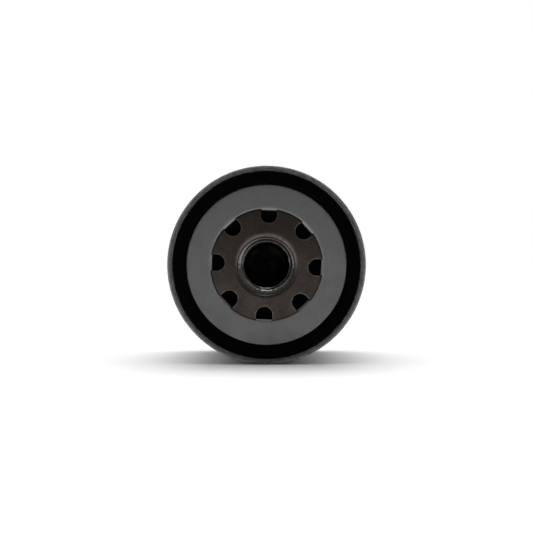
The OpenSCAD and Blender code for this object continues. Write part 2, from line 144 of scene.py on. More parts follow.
def beside(path: np.ndarray, distance: float) -> np.ndarray:
    """The line that runs beside an open path at a distance to its left.

    Each point moves along the mean of the normals of the two chords that meet there, by the distance over
    the cosine of the half turn, so the chords stay parallel.

    Args:
        path: Points of the open path.
        distance: Distance to the left of the path.

    Returns:
        As many points as the path has.
    """
    step = np.diff(path, axis=0)
    step /= np.linalg.norm(step, axis=1, keepdims=True)
    normal = np.stack([-step[:, 1], step[:, 0]], axis=1)
    before = np.vstack([normal[:1], normal])
    after = np.vstack([normal, normal[-1:]])
    mean = before + after
    mean /= np.linalg.norm(mean, axis=1, keepdims=True)
    return path + mean * (distance / np.sum(mean * after, axis=1))[:, None]


def softened(corners: np.ndarray | list, radius: float | np.ndarray, steps: int = 4) -> np.ndarray:
    """A closed outline whose corners are rounded.

    Each corner C becomes the curve (1 - t)^2 A + 2 t (1 - t) C + t^2 B, where A and B lie on its two
    sides, radius away from C and never past 0.45 of a side.

    Args:
        corners: The outline's corners.
        radius: Distance from each corner at which its rounding starts, one value or one per corner.
        steps: Number of chords at each corner.

    Returns:
        The closed outline's points.
    """
    corner = np.asarray(corners, float)
    reach = np.broadcast_to(np.asarray(radius, float), len(corner))[:, None]
    ends = []
    for shift in (1, -1):
        side = np.roll(corner, shift, axis=0) - corner
        length = np.linalg.norm(side, axis=1, keepdims=True)
        ends.append(corner + side / length * np.minimum(reach, 0.45 * length))
    t = np.linspace(0, 1, steps + 1)[None, :, None]
    curve = (1 - t) ** 2 * ends[0][:, None] + 2 * t * (1 - t) * corner[:, None] + t**2 * ends[1][:, None]
    return curve.reshape(-1, 2)


def sheet(path: np.ndarray, thickness: float) -> np.ndarray:
    """The closed outline of a sheet that follows an open path at mid sheet.

    Each cut edge gets one point in its middle that stands a little proud of it, which rounds it slightly.

    Args:
        path: Points of the open path.
        thickness: The sheet's thickness.

    Returns:
        The closed outline's points.
    """
    left = beside(path, thickness / 2)
    right = beside(path, -thickness / 2)[::-1]
    ahead, behind = path[-1] - path[-2], path[0] - path[1]
    proud = CUT_EDGE * thickness
    tip = (left[-1] + right[0]) / 2 + ahead / np.linalg.norm(ahead) * proud
    root = (right[-1] + left[0]) / 2 + behind / np.linalg.norm(behind) * proud
    return joined(left, tip, right, root)


def spaced(path: np.ndarray, longest: float, closed: bool = False) -> np.ndarray:
    """The same line with extra points on its long chords.

    Args:
        path: Points of the line.
        longest: No chord of the result is longer than this.
        closed: Whether the last point joins the first.

    Returns:
        The line's points, as many as it takes.
    """
    line = np.vstack([path, path[:1]]) if closed else path
    parts = []
    for a, b in zip(line[:-1], line[1:]):
        count = max(1, math.ceil(np.linalg.norm(b - a) / longest))
        parts.append(a + (b - a) * np.linspace(0, 1, count, endpoint=False)[:, None])
    return np.vstack(parts) if closed else np.vstack([*parts, line[-1:]])


def turned(outline: np.ndarray, segments: int) -> np.ndarray:
    """A surface of revolution about Y.

    The point for an angle a and an outline point (r, y) is (r sin a, y, r cos a).

    Args:
        outline: Outline points as (radius, y).
        segments: Number of steps round the axis.

    Returns:
        A grid of shape (segments, points, 3).
    """
    angle = np.linspace(0, 2 * np.pi, segments, endpoint=False)[:, None]
    radius, y = outline[None, :, 0], outline[None, :, 1]
    return np.stack([radius * np.sin(angle), y + 0 * angle, radius * np.cos(angle)], axis=2)


def tube(path: np.ndarray, radius: float, sides: int) -> np.ndarray:
    """A round wire: a circle carried along a path, square to it.

    The circle's first axis is the part of the direction away from the Y axis that is square to the path,
    and its second axis is square to both.

    Args:
        path: Points of the wire's centre line, round the Y axis.
        radius: The wire's radius.
        sides: Number of sides of the circle.

    Returns:
        A grid of shape (path points, sides, 3).
    """
    along = np.gradient(path, axis=0)
    along /= np.linalg.norm(along, axis=1, keepdims=True)
    away = path * np.array([1.0, 0.0, 1.0])
    away -= along * np.sum(away * along, axis=1, keepdims=True)
    away /= np.linalg.norm(away, axis=1, keepdims=True)
    third = np.cross(along, away)
    angle = np.linspace(0, 2 * np.pi, sides, endpoint=False)[None, :, None]
    return path[:, None] + radius * (np.cos(angle) * away[:, None] + np.sin(angle) * third[:, None])


def quads(rows: int, columns: int, wrap_rows: bool, wrap_columns: bool) -> np.ndarray:
    """The faces of a grid of points, as rows of four point numbers.

    Args:
        rows: Number of rows.
        columns: Number of columns.
        wrap_rows: Whether the last row joins the first.
        wrap_columns: Whether the last column joins the first.

    Returns:
        An integer array of shape (faces, 4).
    """
    i = np.arange(rows if wrap_rows else rows - 1)[:, None]
    j = np.arange(columns if wrap_columns else columns - 1)[None, :]
    i2, j2 = (i + 1) % rows, (j + 1) % columns
    corner = [i * columns + j, i2 * columns + j, i2 * columns + j2, i * columns + j2]
    return np.stack(np.broadcast_arrays(*corner), axis=-1).reshape(-1, 4)


def new_object(name: str, points: np.ndarray, faces: list) -> bpy.types.Object:
    """A mesh object in metres, welded, with its faces outwards and its flat edges kept sharp.

    Args:
        name: The object's name.
        points: Points in millimetres.
        faces: Faces as lists of point numbers.

    Returns:
        The new object, at the origin.
    """
    mesh = bpy.data.meshes.new(name)
    mesh.from_pydata((points.reshape(-1, 3) * MM).tolist(), [], faces)
    work = bmesh.new()
    work.from_mesh(mesh)
    bmesh.ops.remove_doubles(work, verts=work.verts, dist=WELD)
    bmesh.ops.recalc_face_normals(work, faces=work.faces)
    work.to_mesh(mesh)
    work.free()
    obj = bpy.data.objects.new(name, mesh)
    bpy.context.scene.collection.objects.link(obj)
    shade(obj)
    return obj


def shade(obj: bpy.types.Object) -> None:
    """Smooths the object's faces and keeps the edges that turn by more than the sharp angle.

    Args:
        obj: The object.
    """
    mesh = obj.data
    mesh.polygons.foreach_set("use_smooth", np.ones(len(mesh.polygons), bool))
    mesh.set_sharp_from_angle(angle=SHARP_ANGLE)
    mesh.update()


def turned_object(name: str, outline: np.ndarray, segments: int, closed: bool = True) -> bpy.types.Object:
    """A turned piece.

    Args:
        name: The object's name.
        outline: Outline points as (radius, y).
        segments: Number of steps round the axis.
        closed: True for a ring; False where the outline starts and ends on the axis, where it is welded.

    Returns:
        The new object.
    """
    grid = turned(outline, segments)
    return new_object(name, grid, quads(*grid.shape[:2], True, closed).tolist())


def wire_object(name: str, path: np.ndarray, radius: float, sides: int) -> bpy.types.Object:
    """A piece of round wire with its two ends cut square.

    Args:
        name: The object's name.
        path: Points of the wire's centre line.
        radius: The wire's radius.
        sides: Number of sides of its section.

    Returns:
        The new object.
    """
    grid = tube(path, radius, sides)
    rows = len(path)
    ends = [list(range(sides)), list(range((rows - 1) * sides, rows * sides))]
    return new_object(name, grid, quads(rows, sides, False, True).tolist() + ends)


def prism_object(name: str, loops: np.ndarray) -> bpy.types.Object:
    """A solid between the first and the last of several loops of points.

    Args:
        name: The object's name.
        loops: The loops, of shape (loops, points, 3).

    Returns:
        The new object.
    """
    rows, columns = loops.shape[:2]
    ends = [list(range(columns)), list(range((rows - 1) * columns, rows * columns))]
    return new_object(name, loops, quads(rows, columns, False, True).tolist() + ends)


def combine(obj: bpy.types.Object, others: list[bpy.types.Object], operation: str) -> None:
    """Adds the others to the object's mesh, or cuts them out of it, and removes them.

    Args:
        obj: The object that is changed.
        others: The solids that are added or cut out.
        operation: "UNION" or "DIFFERENCE".
    """
    tools = bpy.data.collections.new("tools")
    bpy.context.scene.collection.children.link(tools)
    for other in others:
        tools.objects.link(other)
    modifier = obj.modifiers.new("combine", "BOOLEAN")
    modifier.operand_type = "COLLECTION"
    modifier.collection = tools
    modifier.operation = operation
    modifier.solver = "EXACT"
    graph = bpy.context.evaluated_depsgraph_get()
    made = bpy.data.meshes.new_from_object(obj.evaluated_get(graph), depsgraph=graph)
    obj.modifiers.remove(modifier)
    obj.data = made
    for other in others:
        bpy.data.objects.remove(other)
    bpy.data.collections.remove(tools)
    shade(obj)


def about_axis(points: np.ndarray, angle: float) -> np.ndarray:
    """Points turned about the Y axis, clockwise from straight up.

    Args:
        points: Points, with x, y and z last.
        angle: The turn in degrees.

    Returns:
        The turned points.
    """
    c, s = math.cos(math.radians(angle)), math.sin(math.radians(angle))
    x, z = points[..., 0], points[..., 2]
    return np.stack([x * c + z * s, points[..., 1], z * c - x * s], axis=-1)


def coordinates(obj: bpy.types.Object) -> np.ndarray:
    """The object's points in millimetres.

    Args:
        obj: The object.

    Returns:
        An array of shape (points, 3).
    """
    flat = np.zeros(len(obj.data.vertices) * 3)
    obj.data.vertices.foreach_get("co", flat)
    return flat.reshape(-1, 3) / MM


def mark(obj: bpy.types.Object, name: str, values: np.ndarray) -> None:
    """Stores one number per point under a name, for a material to read."""
    attribute = obj.data.attributes.new(name, "FLOAT", "POINT")
    attribute.data.foreach_set("value", np.clip(values, 0, 1).astype(np.float32))


def bump(x: np.ndarray, centre: float, width: float) -> np.ndarray:
    """A smooth hill of height 1 at centre, which falls as exp(-((x - centre) / width)^2)."""
    return np.exp(-(((x - centre) / width) ** 2))


def smooth_step(x: np.ndarray, start: float, end: float) -> np.ndarray:
    """0 before start, 1 after end and 3 t^2 - 2 t^3 between."""
    t = np.clip((x - start) / (end - start), 0, 1)
    return t * t * (3 - 2 * t)


# ---------------------------------------------------------------- shader groups

Socket = bpy.types.NodeSocket


class Group(Enum):
    """The effects that several finishes share."""

    STREAKS = "turned streaks"
    MOTTLE = "mottle"
    WEAR = "edge wear"
    DUST = "dust"
    HEIGHT = "fine grain"


class Nodes:
    """A node tree with short ways to add, link and combine nodes."""

    def __init__(self, tree: bpy.types.NodeTree) -> None:
        """Keeps the tree."""
        self.tree = tree

    def add(self, kind: str, **settings: object) -> bpy.types.Node:
        """Adds a node.

        Args:
            kind: The node's type.
            settings: Properties to set on it.

        Returns:
            The new node.
        """
        node = self.tree.nodes.new(kind)
        for name, value in settings.items():
            setattr(node, name, value)
        return node

    def put(self, value: object, socket: bpy.types.NodeSocket) -> None:
        """Links an output to a socket, or sets a plain value on it.

        Args:
            value: An output socket or a plain value.
            socket: The input that takes it.
        """
        if isinstance(value, bpy.types.NodeSocket):
            self.tree.links.new(value, socket)
        else:
            socket.default_value = value

    def maths(self, operation: str, a: object, b: object = 0.0, clamp: bool = False) -> Socket:
        """The result of a Math node on two values.

        Args:
            operation: The node's operation.
            a: First value or socket.
            b: Second value or socket.
            clamp: Whether the result is held between 0 and 1.

        Returns:
            The node's output.
        """
        node = self.add("ShaderNodeMath", operation=operation, use_clamp=clamp)
        self.put(a, node.inputs[0])
        self.put(b, node.inputs[1])
        return node.outputs[0]

    def noise(self, vector: object, scale: object, detail: float = 2.0, rough: float = 0.5) -> Socket:
        """The value of a Noise Texture.

        Args:
            vector: Where it is read.
            scale: Its scale, in cells to the metre.
            detail: How many finer layers it has.
            rough: How strong the finer layers are.

        Returns:
            The node's output.
        """
        node = self.add("ShaderNodeTexNoise")
        self.put(vector, node.inputs["Vector"])
        self.put(scale, node.inputs["Scale"])
        node.inputs["Detail"].default_value = detail
        node.inputs["Roughness"].default_value = rough
        return node.outputs[0]

    def stretch(
        self, value: object, low: float, high: float, to_low: float = 0.0, to_high: float = 1.0
    ) -> Socket:
        """The value carried from one range to another, smoothly, and held at its ends.

        Args:
            value: The value or socket.
            low: Start of the range it comes from.
            high: End of that range.
            to_low: Start of the range it goes to.
            to_high: End of that range.

        Returns:
            The node's output.
        """
        node = self.add("ShaderNodeMapRange", interpolation_type="SMOOTHSTEP")
        for socket, given in zip(node.inputs, (value, low, high, to_low, to_high)):
            self.put(given, socket)
        return node.outputs[0]

    def mix(self, share: object, a: object, b: object) -> Socket:
        """A blend of two colours.

        Args:
            share: 0 for colour a and 1 for colour b.
            a: First colour or socket.
            b: Second colour or socket.

        Returns:
            The node's output.
        """
        node = self.add("ShaderNodeMix", data_type="RGBA")
        self.put(share, node.inputs[0])
        self.put(a, node.inputs[6])
        self.put(b, node.inputs[7])
        return node.outputs[2]

    def shares(self, a: object, part_a: object, b: object, part_b: object, clamp: bool = False) -> Socket:
        """The sum of two values, each times its part.

        Args:
            a: First value or socket.
            part_a: Its part.
            b: Second value or socket.
            part_b: Its part.
            clamp: Whether the sum is held between 0 and 1.

        Returns:
            The sum.
        """
        first, second = self.maths("MULTIPLY", a, part_a), self.maths("MULTIPLY", b, part_b)
        return self.maths("ADD", first, second, clamp=clamp)

    def stored(self, name: str) -> Socket:
        """The value that a piece's points store under a name."""
        return self.add("ShaderNodeAttribute", attribute_type="GEOMETRY", attribute_name=name).outputs["Fac"]

    def use(self, group: Group, **inputs: object) -> bpy.types.Node:
        """Places one of the shared groups.

        Args:
            group: Which group.
            inputs: Values for its inputs, by name.

        Returns:
            The group's node.
        """
        node = self.add("ShaderNodeGroup", node_tree=shared_group(group))
        for name, value in inputs.items():
            self.put(value, node.inputs[name.replace("_", " ").capitalize()])
        return node

    def axis_parts(self) -> tuple[Socket, Socket, Socket]:
        """How a point lies to the Y axis, in metres.

        Returns:
            The direction away from the axis, the distance from it and the height along it.
        """
        place = self.add("ShaderNodeTexCoord").outputs["Object"]
        flat = self.add("ShaderNodeVectorMath", operation="MULTIPLY")
        self.put(place, flat.inputs[0])
        flat.inputs[1].default_value = (1.0, 0.0, 1.0)
        length = self.add("ShaderNodeVectorMath", operation="LENGTH")
        self.put(flat.outputs[0], length.inputs[0])
        unit = self.add("ShaderNodeVectorMath", operation="NORMALIZE")
        self.put(flat.outputs[0], unit.inputs[0])
        split = self.add("ShaderNodeSeparateXYZ")
        self.put(place, split.inputs[0])
        return unit.outputs[0], length.outputs["Value"], split.outputs[1]


def group_tree(
    group: Group, inputs: dict[str, float], outputs: list[str]
) -> tuple[Nodes, dict[str, Socket], bpy.types.Node]:
    """An empty shared group with float inputs and outputs.

    Args:
        group: Which group it is.
        inputs: Names and default values of the inputs.
        outputs: Names of the outputs.

    Returns:
        The group's nodes, its input sockets by name and its output node.
    """
    tree = bpy.data.node_groups.new(group.value, "ShaderNodeTree")
    for name, value in inputs.items():
        socket = tree.interface.new_socket(name, in_out="INPUT", socket_type="NodeSocketFloat")
        socket.default_value = value
    for name in outputs:
        tree.interface.new_socket(name, in_out="OUTPUT", socket_type="NodeSocketFloat")
    nodes = Nodes(tree)
    start, end = nodes.add("NodeGroupInput"), nodes.add("NodeGroupOutput")
    return nodes, {name: start.outputs[name] for name in inputs}, end


def streaks_group() -> bpy.types.NodeTree:
    """Streaks that run round the axis: noise that changes fast across them and slowly along them.

    Returns:
        The group's node tree.
    """
    nodes, given, end = group_tree(Group.STREAKS, {"Across": 4000.0, "Along": 6.0}, ["Value"])
    unit, radius, y = nodes.axis_parts()
    scaled = nodes.add("ShaderNodeVectorMath", operation="SCALE")
    nodes.put(unit, scaled.inputs[0])
    nodes.put(given["Along"], scaled.inputs["Scale"])
    side = nodes.add("ShaderNodeCombineXYZ")
    nodes.put(nodes.maths("MULTIPLY", nodes.maths("ADD", radius, y), given["Across"]), side.inputs[1])
    total = nodes.add("ShaderNodeVectorMath", operation="ADD")
    nodes.put(scaled.outputs[0], total.inputs[0])
    nodes.put(side.outputs[0], total.inputs[1])
    nodes.put(nodes.noise(total.outputs[0], 1.0, 3.0, 0.6), end.inputs["Value"])
    return nodes.tree


def mottle_group() -> bpy.types.NodeTree:
    """Cloudy patches with finer specks in them.

    Returns:
        The group's node tree.
    """
    nodes, given, end = group_tree(Group.MOTTLE, {"Scale": 300.0, "Specks": 0.4}, ["Value"])
    place = nodes.add("ShaderNodeTexCoord").outputs["Object"]
    clouds = nodes.noise(place, given["Scale"], 4.0, 0.6)
    specks = nodes.noise(place, nodes.maths("MULTIPLY", given["Scale"], 9.0), 2.0, 0.7)
    share = nodes.maths("MULTIPLY", nodes.maths("SUBTRACT", specks, 0.5), given["Specks"])
    nodes.put(nodes.stretch(nodes.maths("ADD", clouds, share), 0.25, 0.75), end.inputs["Value"])
    return nodes.tree


def wear_group() -> bpy.types.NodeTree:
    """Rubbed edges: the stored wear of the point, broken up by noise.

    Returns:
        The group's node tree.
    """
    nodes, given, end = group_tree(Group.WEAR, {"Amount": 1.0, "Scale": 900.0}, ["Mask"])
    stored = nodes.stored("wear")
    place = nodes.add("ShaderNodeTexCoord").outputs["Object"]
    broken = nodes.stretch(nodes.noise(place, given["Scale"], 4.0, 0.65), 0.3, 0.62)
    rubbed = nodes.maths("MULTIPLY", stored, given["Amount"])
    nodes.put(nodes.maths("MULTIPLY", rubbed, broken, clamp=True), end.inputs["Mask"])
    return nodes.tree


def dust_group() -> bpy.types.NodeTree:
    """A thin settled film: stronger where the surface faces up, and patchy.

    Returns:
        The group's node tree.
    """
    nodes, given, end = group_tree(Group.DUST, {"Amount": 0.2, "Scale": 150.0}, ["Mask"])
    normal = nodes.add("ShaderNodeNewGeometry").outputs["Normal"]
    split = nodes.add("ShaderNodeSeparateXYZ")
    nodes.put(normal, split.inputs[0])
    up = nodes.stretch(split.outputs[2], 0.0, 1.0, 0.25, 1.0)
    place = nodes.add("ShaderNodeTexCoord").outputs["Object"]
    patches = nodes.stretch(nodes.noise(place, given["Scale"], 6.0, 0.7), 0.4, 0.75)
    film = nodes.maths("MULTIPLY", up, patches)
    nodes.put(nodes.maths("MULTIPLY", film, given["Amount"]), end.inputs["Mask"])
    return nodes.tree


def height_group() -> bpy.types.NodeTree:
    """Height of a fine random grain.

    Returns:
        The group's node tree.
    """
    nodes, given, end = group_tree(Group.HEIGHT, {"Scale": 3000.0}, ["Height"])
    place = nodes.add("ShaderNodeTexCoord").outputs["Object"]
    nodes.put(nodes.noise(place, given["Scale"], 3.0, 0.6), end.inputs["Height"])
    return nodes.tree


GROUP_MAKERS = {
    Group.STREAKS: streaks_group,
    Group.MOTTLE: mottle_group,
    Group.WEAR: wear_group,
    Group.DUST: dust_group,
    Group.HEIGHT: height_group,
}


def shared_group(group: Group) -> bpy.types.NodeTree:
    """The shared group's node tree, made the first time it is asked for."""
    return bpy.data.node_groups.get(group.value) or GROUP_MAKERS[group]()


# ---------------------------------------------------------------- finishes

Colour = tuple[float, float, float, float]


def new_material(name: str) -> tuple[bpy.types.Material, Nodes, bpy.types.Node]:
    """A material with a Principled BSDF.

    Args:
        name: The material's name.

    Returns:
        The material, its nodes and its Principled BSDF.
    """
    material = bpy.data.materials.new(name)
    material.use_nodes = True
    nodes = Nodes(material.node_tree)
    material.node_tree.nodes.clear()
    shader = nodes.add("ShaderNodeBsdfPrincipled")
    output = nodes.add("ShaderNodeOutputMaterial")
    nodes.put(shader.outputs[0], output.inputs[0])
    return material, nodes, shader


def bumped(nodes: Nodes, shader: bpy.types.Node, height: bpy.types.NodeSocket, depth: float) -> None:
    """Feeds a height through a Bump node into the shader's normal.

    Args:
        nodes: The material's nodes.
        shader: Its Principled BSDF.
        height: The height, from 0 to 1.
        depth: How deep a height of 1 is, in metres.
    """
    node = nodes.add("ShaderNodeBump")
    node.inputs["Strength"].default_value = 1.0
    node.inputs["Distance"].default_value = depth
    nodes.put(height, node.inputs["Height"])
    nodes.put(node.outputs[0], shader.inputs["Normal"])


@dataclass(frozen=True)
class PressedSteel:
    """Bare or plated sheet metal with turned streaks, faint patches and rubbed edges."""

    name: str
    colour: Colour
    dark: Colour
    rubbed: Colour
    rough: float = 0.4
    rough_spread: float = 0.12
    across: float = 3500.0
    along: float = 8.0
    patches: float = 220.0
    wear: float = 0.9
    depth: float = 0.000006

    def material(self) -> bpy.types.Material:
        """Builds the material.

        Returns:
            The new material.
        """
        made, nodes, shader = new_material(self.name)
        shader.inputs["Metallic"].default_value = 1.0
        streak = nodes.use(Group.STREAKS, across=self.across, along=self.along).outputs[0]
        patch = nodes.use(Group.MOTTLE, scale=self.patches, specks=0.5).outputs[0]
        blend = nodes.shares(streak, 0.45, patch, 0.55)
        wear = nodes.use(Group.WEAR, amount=self.wear, scale=900.0).outputs[0]
        base = nodes.mix(nodes.stretch(blend, 0.3, 0.7), self.dark, self.colour)
        nodes.put(nodes.mix(wear, base, self.rubbed), shader.inputs["Base Color"])
        low, high = self.rough - self.rough_spread, self.rough + self.rough_spread
        nodes.put(nodes.stretch(blend, 0.25, 0.75, high, low), shader.inputs["Roughness"])
        grain = nodes.use(Group.HEIGHT, scale=5200.0).outputs[0]
        height = nodes.shares(streak, 0.6, grain, 0.4)
        bumped(nodes, shader, height, self.depth)
        return made


@dataclass(frozen=True)
class BakedPaint:
    """Black baked paint with a slight orange peel, fine scratches, dust and thin wear on the edges."""

    name: str = "baked_black_paint"
    colour: Colour = (0.012, 0.012, 0.0125, 1)
    faded: Colour = (0.022, 0.0215, 0.021, 1)
    primer: Colour = (0.12, 0.115, 0.108, 1)
    film: Colour = (0.09, 0.088, 0.085, 1)
    gloss: float = 0.3
    coat: float = 0.12
    coat_rough: float = 0.16
    wear: float = 0.6
    dust: float = 0.1
    scratches: float = 0.35
    peel_depth: float = 0.00003

    def material(self) -> bpy.types.Material:
        """Builds the material.

        Returns:
            The new material.
        """
        made, nodes, shader = new_material(self.name)
        shader.inputs["Metallic"].default_value = 0.0
        shader.inputs["Specular IOR Level"].default_value = self.gloss
        shader.inputs["Coat Weight"].default_value = self.coat
        shader.inputs["Coat Roughness"].default_value = self.coat_rough
        patch = nodes.use(Group.MOTTLE, scale=90.0, specks=0.3).outputs[0]
        streak = nodes.use(Group.STREAKS, across=2600.0, along=5.0).outputs[0]
        scratch = nodes.stretch(streak, 0.66, 0.8)
        wear = nodes.use(Group.WEAR, amount=self.wear, scale=1100.0).outputs[0]
        dust = nodes.use(Group.DUST, amount=self.dust, scale=160.0).outputs[0]
        base = nodes.mix(patch, self.colour, self.faded)
        base = nodes.mix(nodes.maths("MULTIPLY", scratch, self.scratches), base, self.primer)
        base = nodes.mix(wear, base, self.primer)
        nodes.put(nodes.mix(dust, base, self.film), shader.inputs["Base Color"])
        rough = nodes.stretch(patch, 0.0, 1.0, 0.27, 0.4)
        rough = nodes.maths("ADD", rough, nodes.maths("MULTIPLY", scratch, 0.15))
        rough = nodes.maths("ADD", rough, nodes.maths("MULTIPLY", wear, 0.2))
        nodes.put(rough, shader.inputs["Roughness"])
        peel = nodes.use(Group.HEIGHT, scale=480.0).outputs[0]
        height = nodes.maths("SUBTRACT", peel, nodes.maths("MULTIPLY", scratch, 0.25))
        bumped(nodes, shader, height, self.peel_depth)
        return made


@dataclass(frozen=True)
class LidPlating:
    """Grey satin plating inside the gasket's groove and rubbed paint on the rolled seam outside it."""

    name: str = "lid_plating"
    grey: Colour = (0.178, 0.179, 0.179, 1)
    grey_low: Colour = (0.158, 0.16, 0.16, 1)
    paint: Colour = (0.128, 0.121, 0.115, 1)
    paint_low: Colour = (0.062, 0.057, 0.053, 1)
    bright: Colour = (0.36, 0.36, 0.355, 1)
    paint_from: float = 0.0352
    paint_full: float = 0.0357
    grey_metal: float = 0.85
    paint_metal: float = 0.35
    wear: float = 0.85
    depth: float = 0.00001

    def material(self) -> bpy.types.Material:
        """Builds the material.

        Returns:
            The new material.
        """
        made, nodes, shader = new_material(self.name)
        radius = nodes.axis_parts()[1]
        seam = nodes.stretch(radius, self.paint_from, self.paint_full)
        patch = nodes.use(Group.MOTTLE, scale=130.0, specks=0.25).outputs[0]
        grey = nodes.mix(patch, self.grey_low, self.grey)
        streak = nodes.use(Group.STREAKS, across=1500.0, along=14.0).outputs[0]
        dark = nodes.mix(nodes.stretch(streak, 0.38, 0.62), self.paint_low, self.paint)
        wear = nodes.use(Group.WEAR, amount=self.wear, scale=1300.0).outputs[0]
        base = nodes.mix(seam, grey, dark)
        nodes.put(nodes.mix(wear, base, self.bright), shader.inputs["Base Color"])
        metal = nodes.stretch(seam, 0.0, 1.0, self.grey_metal, self.paint_metal)
        nodes.put(metal, shader.inputs["Metallic"])
        rough = nodes.stretch(patch, 0.0, 1.0, 0.4, 0.34)
        rough = nodes.maths("ADD", rough, nodes.maths("MULTIPLY", wear, -0.06))
        nodes.put(rough, shader.inputs["Roughness"])
        grain = nodes.use(Group.HEIGHT, scale=4200.0).outputs[0]
        height = nodes.shares(grain, 0.35, nodes.maths("MULTIPLY", streak, seam), 1.6)
        bumped(nodes, shader, height, self.depth)
        return made


@dataclass(frozen=True)
class PhosphateSteel:
    """Brown-grey phosphated steel, mottled, with brighter machined surfaces round the thread and painted
    shade in the gap round the boss and in the countersink's corner.
    """

    name: str = "phosphated_base"
    light: Colour = (0.075, 0.063, 0.055, 1)
    dark: Colour = (0.034, 0.0275, 0.0235, 1)
    rust: Colour = (0.06, 0.035, 0.025, 1)
    machined: Colour = (0.17, 0.163, 0.155, 1)
    bright: Colour = (0.2, 0.19, 0.18, 1)
    # Near-black colour of the painted shade in the gap round the boss and in the countersink's corner.
    shade_colour: Colour = (0.008, 0.005, 0.004, 1)
    cover: float = 0.93
    metal: float = 0.9
    stains: float = 0.3
    wear: float = 0.9
    depth: float = 0.000016

    def material(self) -> bpy.types.Material:
        """Builds the material.

        Returns:
            The new material.
        """
        made, nodes, shader = new_material(self.name)
        shader.inputs["Metallic"].default_value = self.metal
        cloud = nodes.use(Group.MOTTLE, scale=110.0, specks=0.2).outputs[0]
        speck = nodes.use(Group.MOTTLE, scale=1100.0, specks=1.0).outputs[0]
        place = nodes.add("ShaderNodeTexCoord").outputs["Object"]
        stain = nodes.stretch(nodes.noise(place, 75.0, 3.0), 0.5, 0.7)
        blend = nodes.shares(cloud, 0.6, speck, 0.4)
        base = nodes.mix(blend, self.dark, self.light)
        base = nodes.mix(nodes.maths("MULTIPLY", stain, self.stains), base, self.rust)
        cut = nodes.stored("machined")
        base = nodes.mix(cut, base, self.machined)
        wear = nodes.use(Group.WEAR, amount=self.wear, scale=1500.0).outputs[0]
        base = nodes.mix(wear, base, self.bright)
        # Painted shade: the stored mask darkens the colour to near black in the gap round the boss and in the
        # countersink's corner.
        crease_shade = nodes.maths("MULTIPLY", nodes.stored("crease_shade"), self.cover)
        nodes.put(nodes.mix(crease_shade, base, self.shade_colour), shader.inputs["Base Color"])
        rough = nodes.stretch(blend, 0.0, 1.0, 0.38, 0.28)
        rough = nodes.maths("SUBTRACT", rough, nodes.maths("MULTIPLY", cut, 0.14))
        nodes.put(rough, shader.inputs["Roughness"])
        grain = nodes.use(Group.HEIGHT, scale=3600.0).outputs[0]
        streak = nodes.use(Group.STREAKS, across=5200.0, along=20.0).outputs[0]
        cast = nodes.maths("SUBTRACT", 1.0, cut)
        lines = nodes.maths("MULTIPLY", nodes.maths("MULTIPLY", streak, cut), 0.3)
        height = nodes.maths("ADD", nodes.maths("MULTIPLY", grain, cast), lines)
        bumped(nodes, shader, height, self.depth)
        return made


@dataclass(frozen=True)
class Rubber:
    """Moulded black rubber with a fine grain, a faint bloom and a dull sheen."""

    name: str
    colour: Colour = (0.001, 0.001, 0.00105, 1)
    bloom: Colour = (0.0022, 0.0022, 0.0022, 1)
    rough: float = 0.5
    shine: float = 0.02
    shine_rough: float = 0.35
    dust: float = 0.5
    depth: float = 0.000018

    def material(self) -> bpy.types.Material:
        """Builds the material.

        Returns:
            The new material.
        """
        made, nodes, shader = new_material(self.name)
        shader.inputs["Specular IOR Level"].default_value = 0.0
        shader.inputs["Coat Weight"].default_value = self.shine
        shader.inputs["Coat Roughness"].default_value = self.shine_rough
        patch = nodes.use(Group.MOTTLE, scale=170.0, specks=0.6).outputs[0]
        dust = nodes.use(Group.DUST, amount=self.dust, scale=300.0).outputs[0]
        base = nodes.mix(nodes.maths("MULTIPLY", patch, 0.3), self.colour, self.bloom)
        nodes.put(nodes.mix(dust, base, self.bloom), shader.inputs["Base Color"])
        rough = nodes.stretch(patch, 0.0, 1.0, self.rough - 0.08, self.rough + 0.12)
        nodes.put(rough, shader.inputs["Roughness"])
        bumped(nodes, shader, nodes.use(Group.HEIGHT, scale=2400.0).outputs[0], self.depth)
        return made


@dataclass(frozen=True)
class FilterPaper:
    """Resin-soaked filter paper: fibres, cloudy resin and darker folds."""

    name: str = "resin_paper"
    light: Colour = (0.68, 0.49, 0.25, 1)
    dark: Colour = (0.5, 0.32, 0.13, 1)
    rough: float = 0.85
    gloss: float = 0.25
    depth: float = 0.00006

    def material(self) -> bpy.types.Material:
        """Builds the material.

        Returns:
            The new material.
        """
        made, nodes, shader = new_material(self.name)
        shader.inputs["Roughness"].default_value = self.rough
        shader.inputs["Specular IOR Level"].default_value = self.gloss
        cloud = nodes.use(Group.MOTTLE, scale=120.0, specks=0.8).outputs[0]
        fibre = nodes.use(Group.MOTTLE, scale=1700.0, specks=1.0).outputs[0]
        fold = nodes.use(Group.WEAR, amount=0.7, scale=500.0).outputs[0]
        blend = nodes.shares(cloud, 0.55, fibre, 0.45)
        base = nodes.mix(blend, self.dark, self.light)
        nodes.put(nodes.mix(fold, base, self.dark), shader.inputs["Base Color"])
        bumped(nodes, shader, fibre, self.depth)
        return made


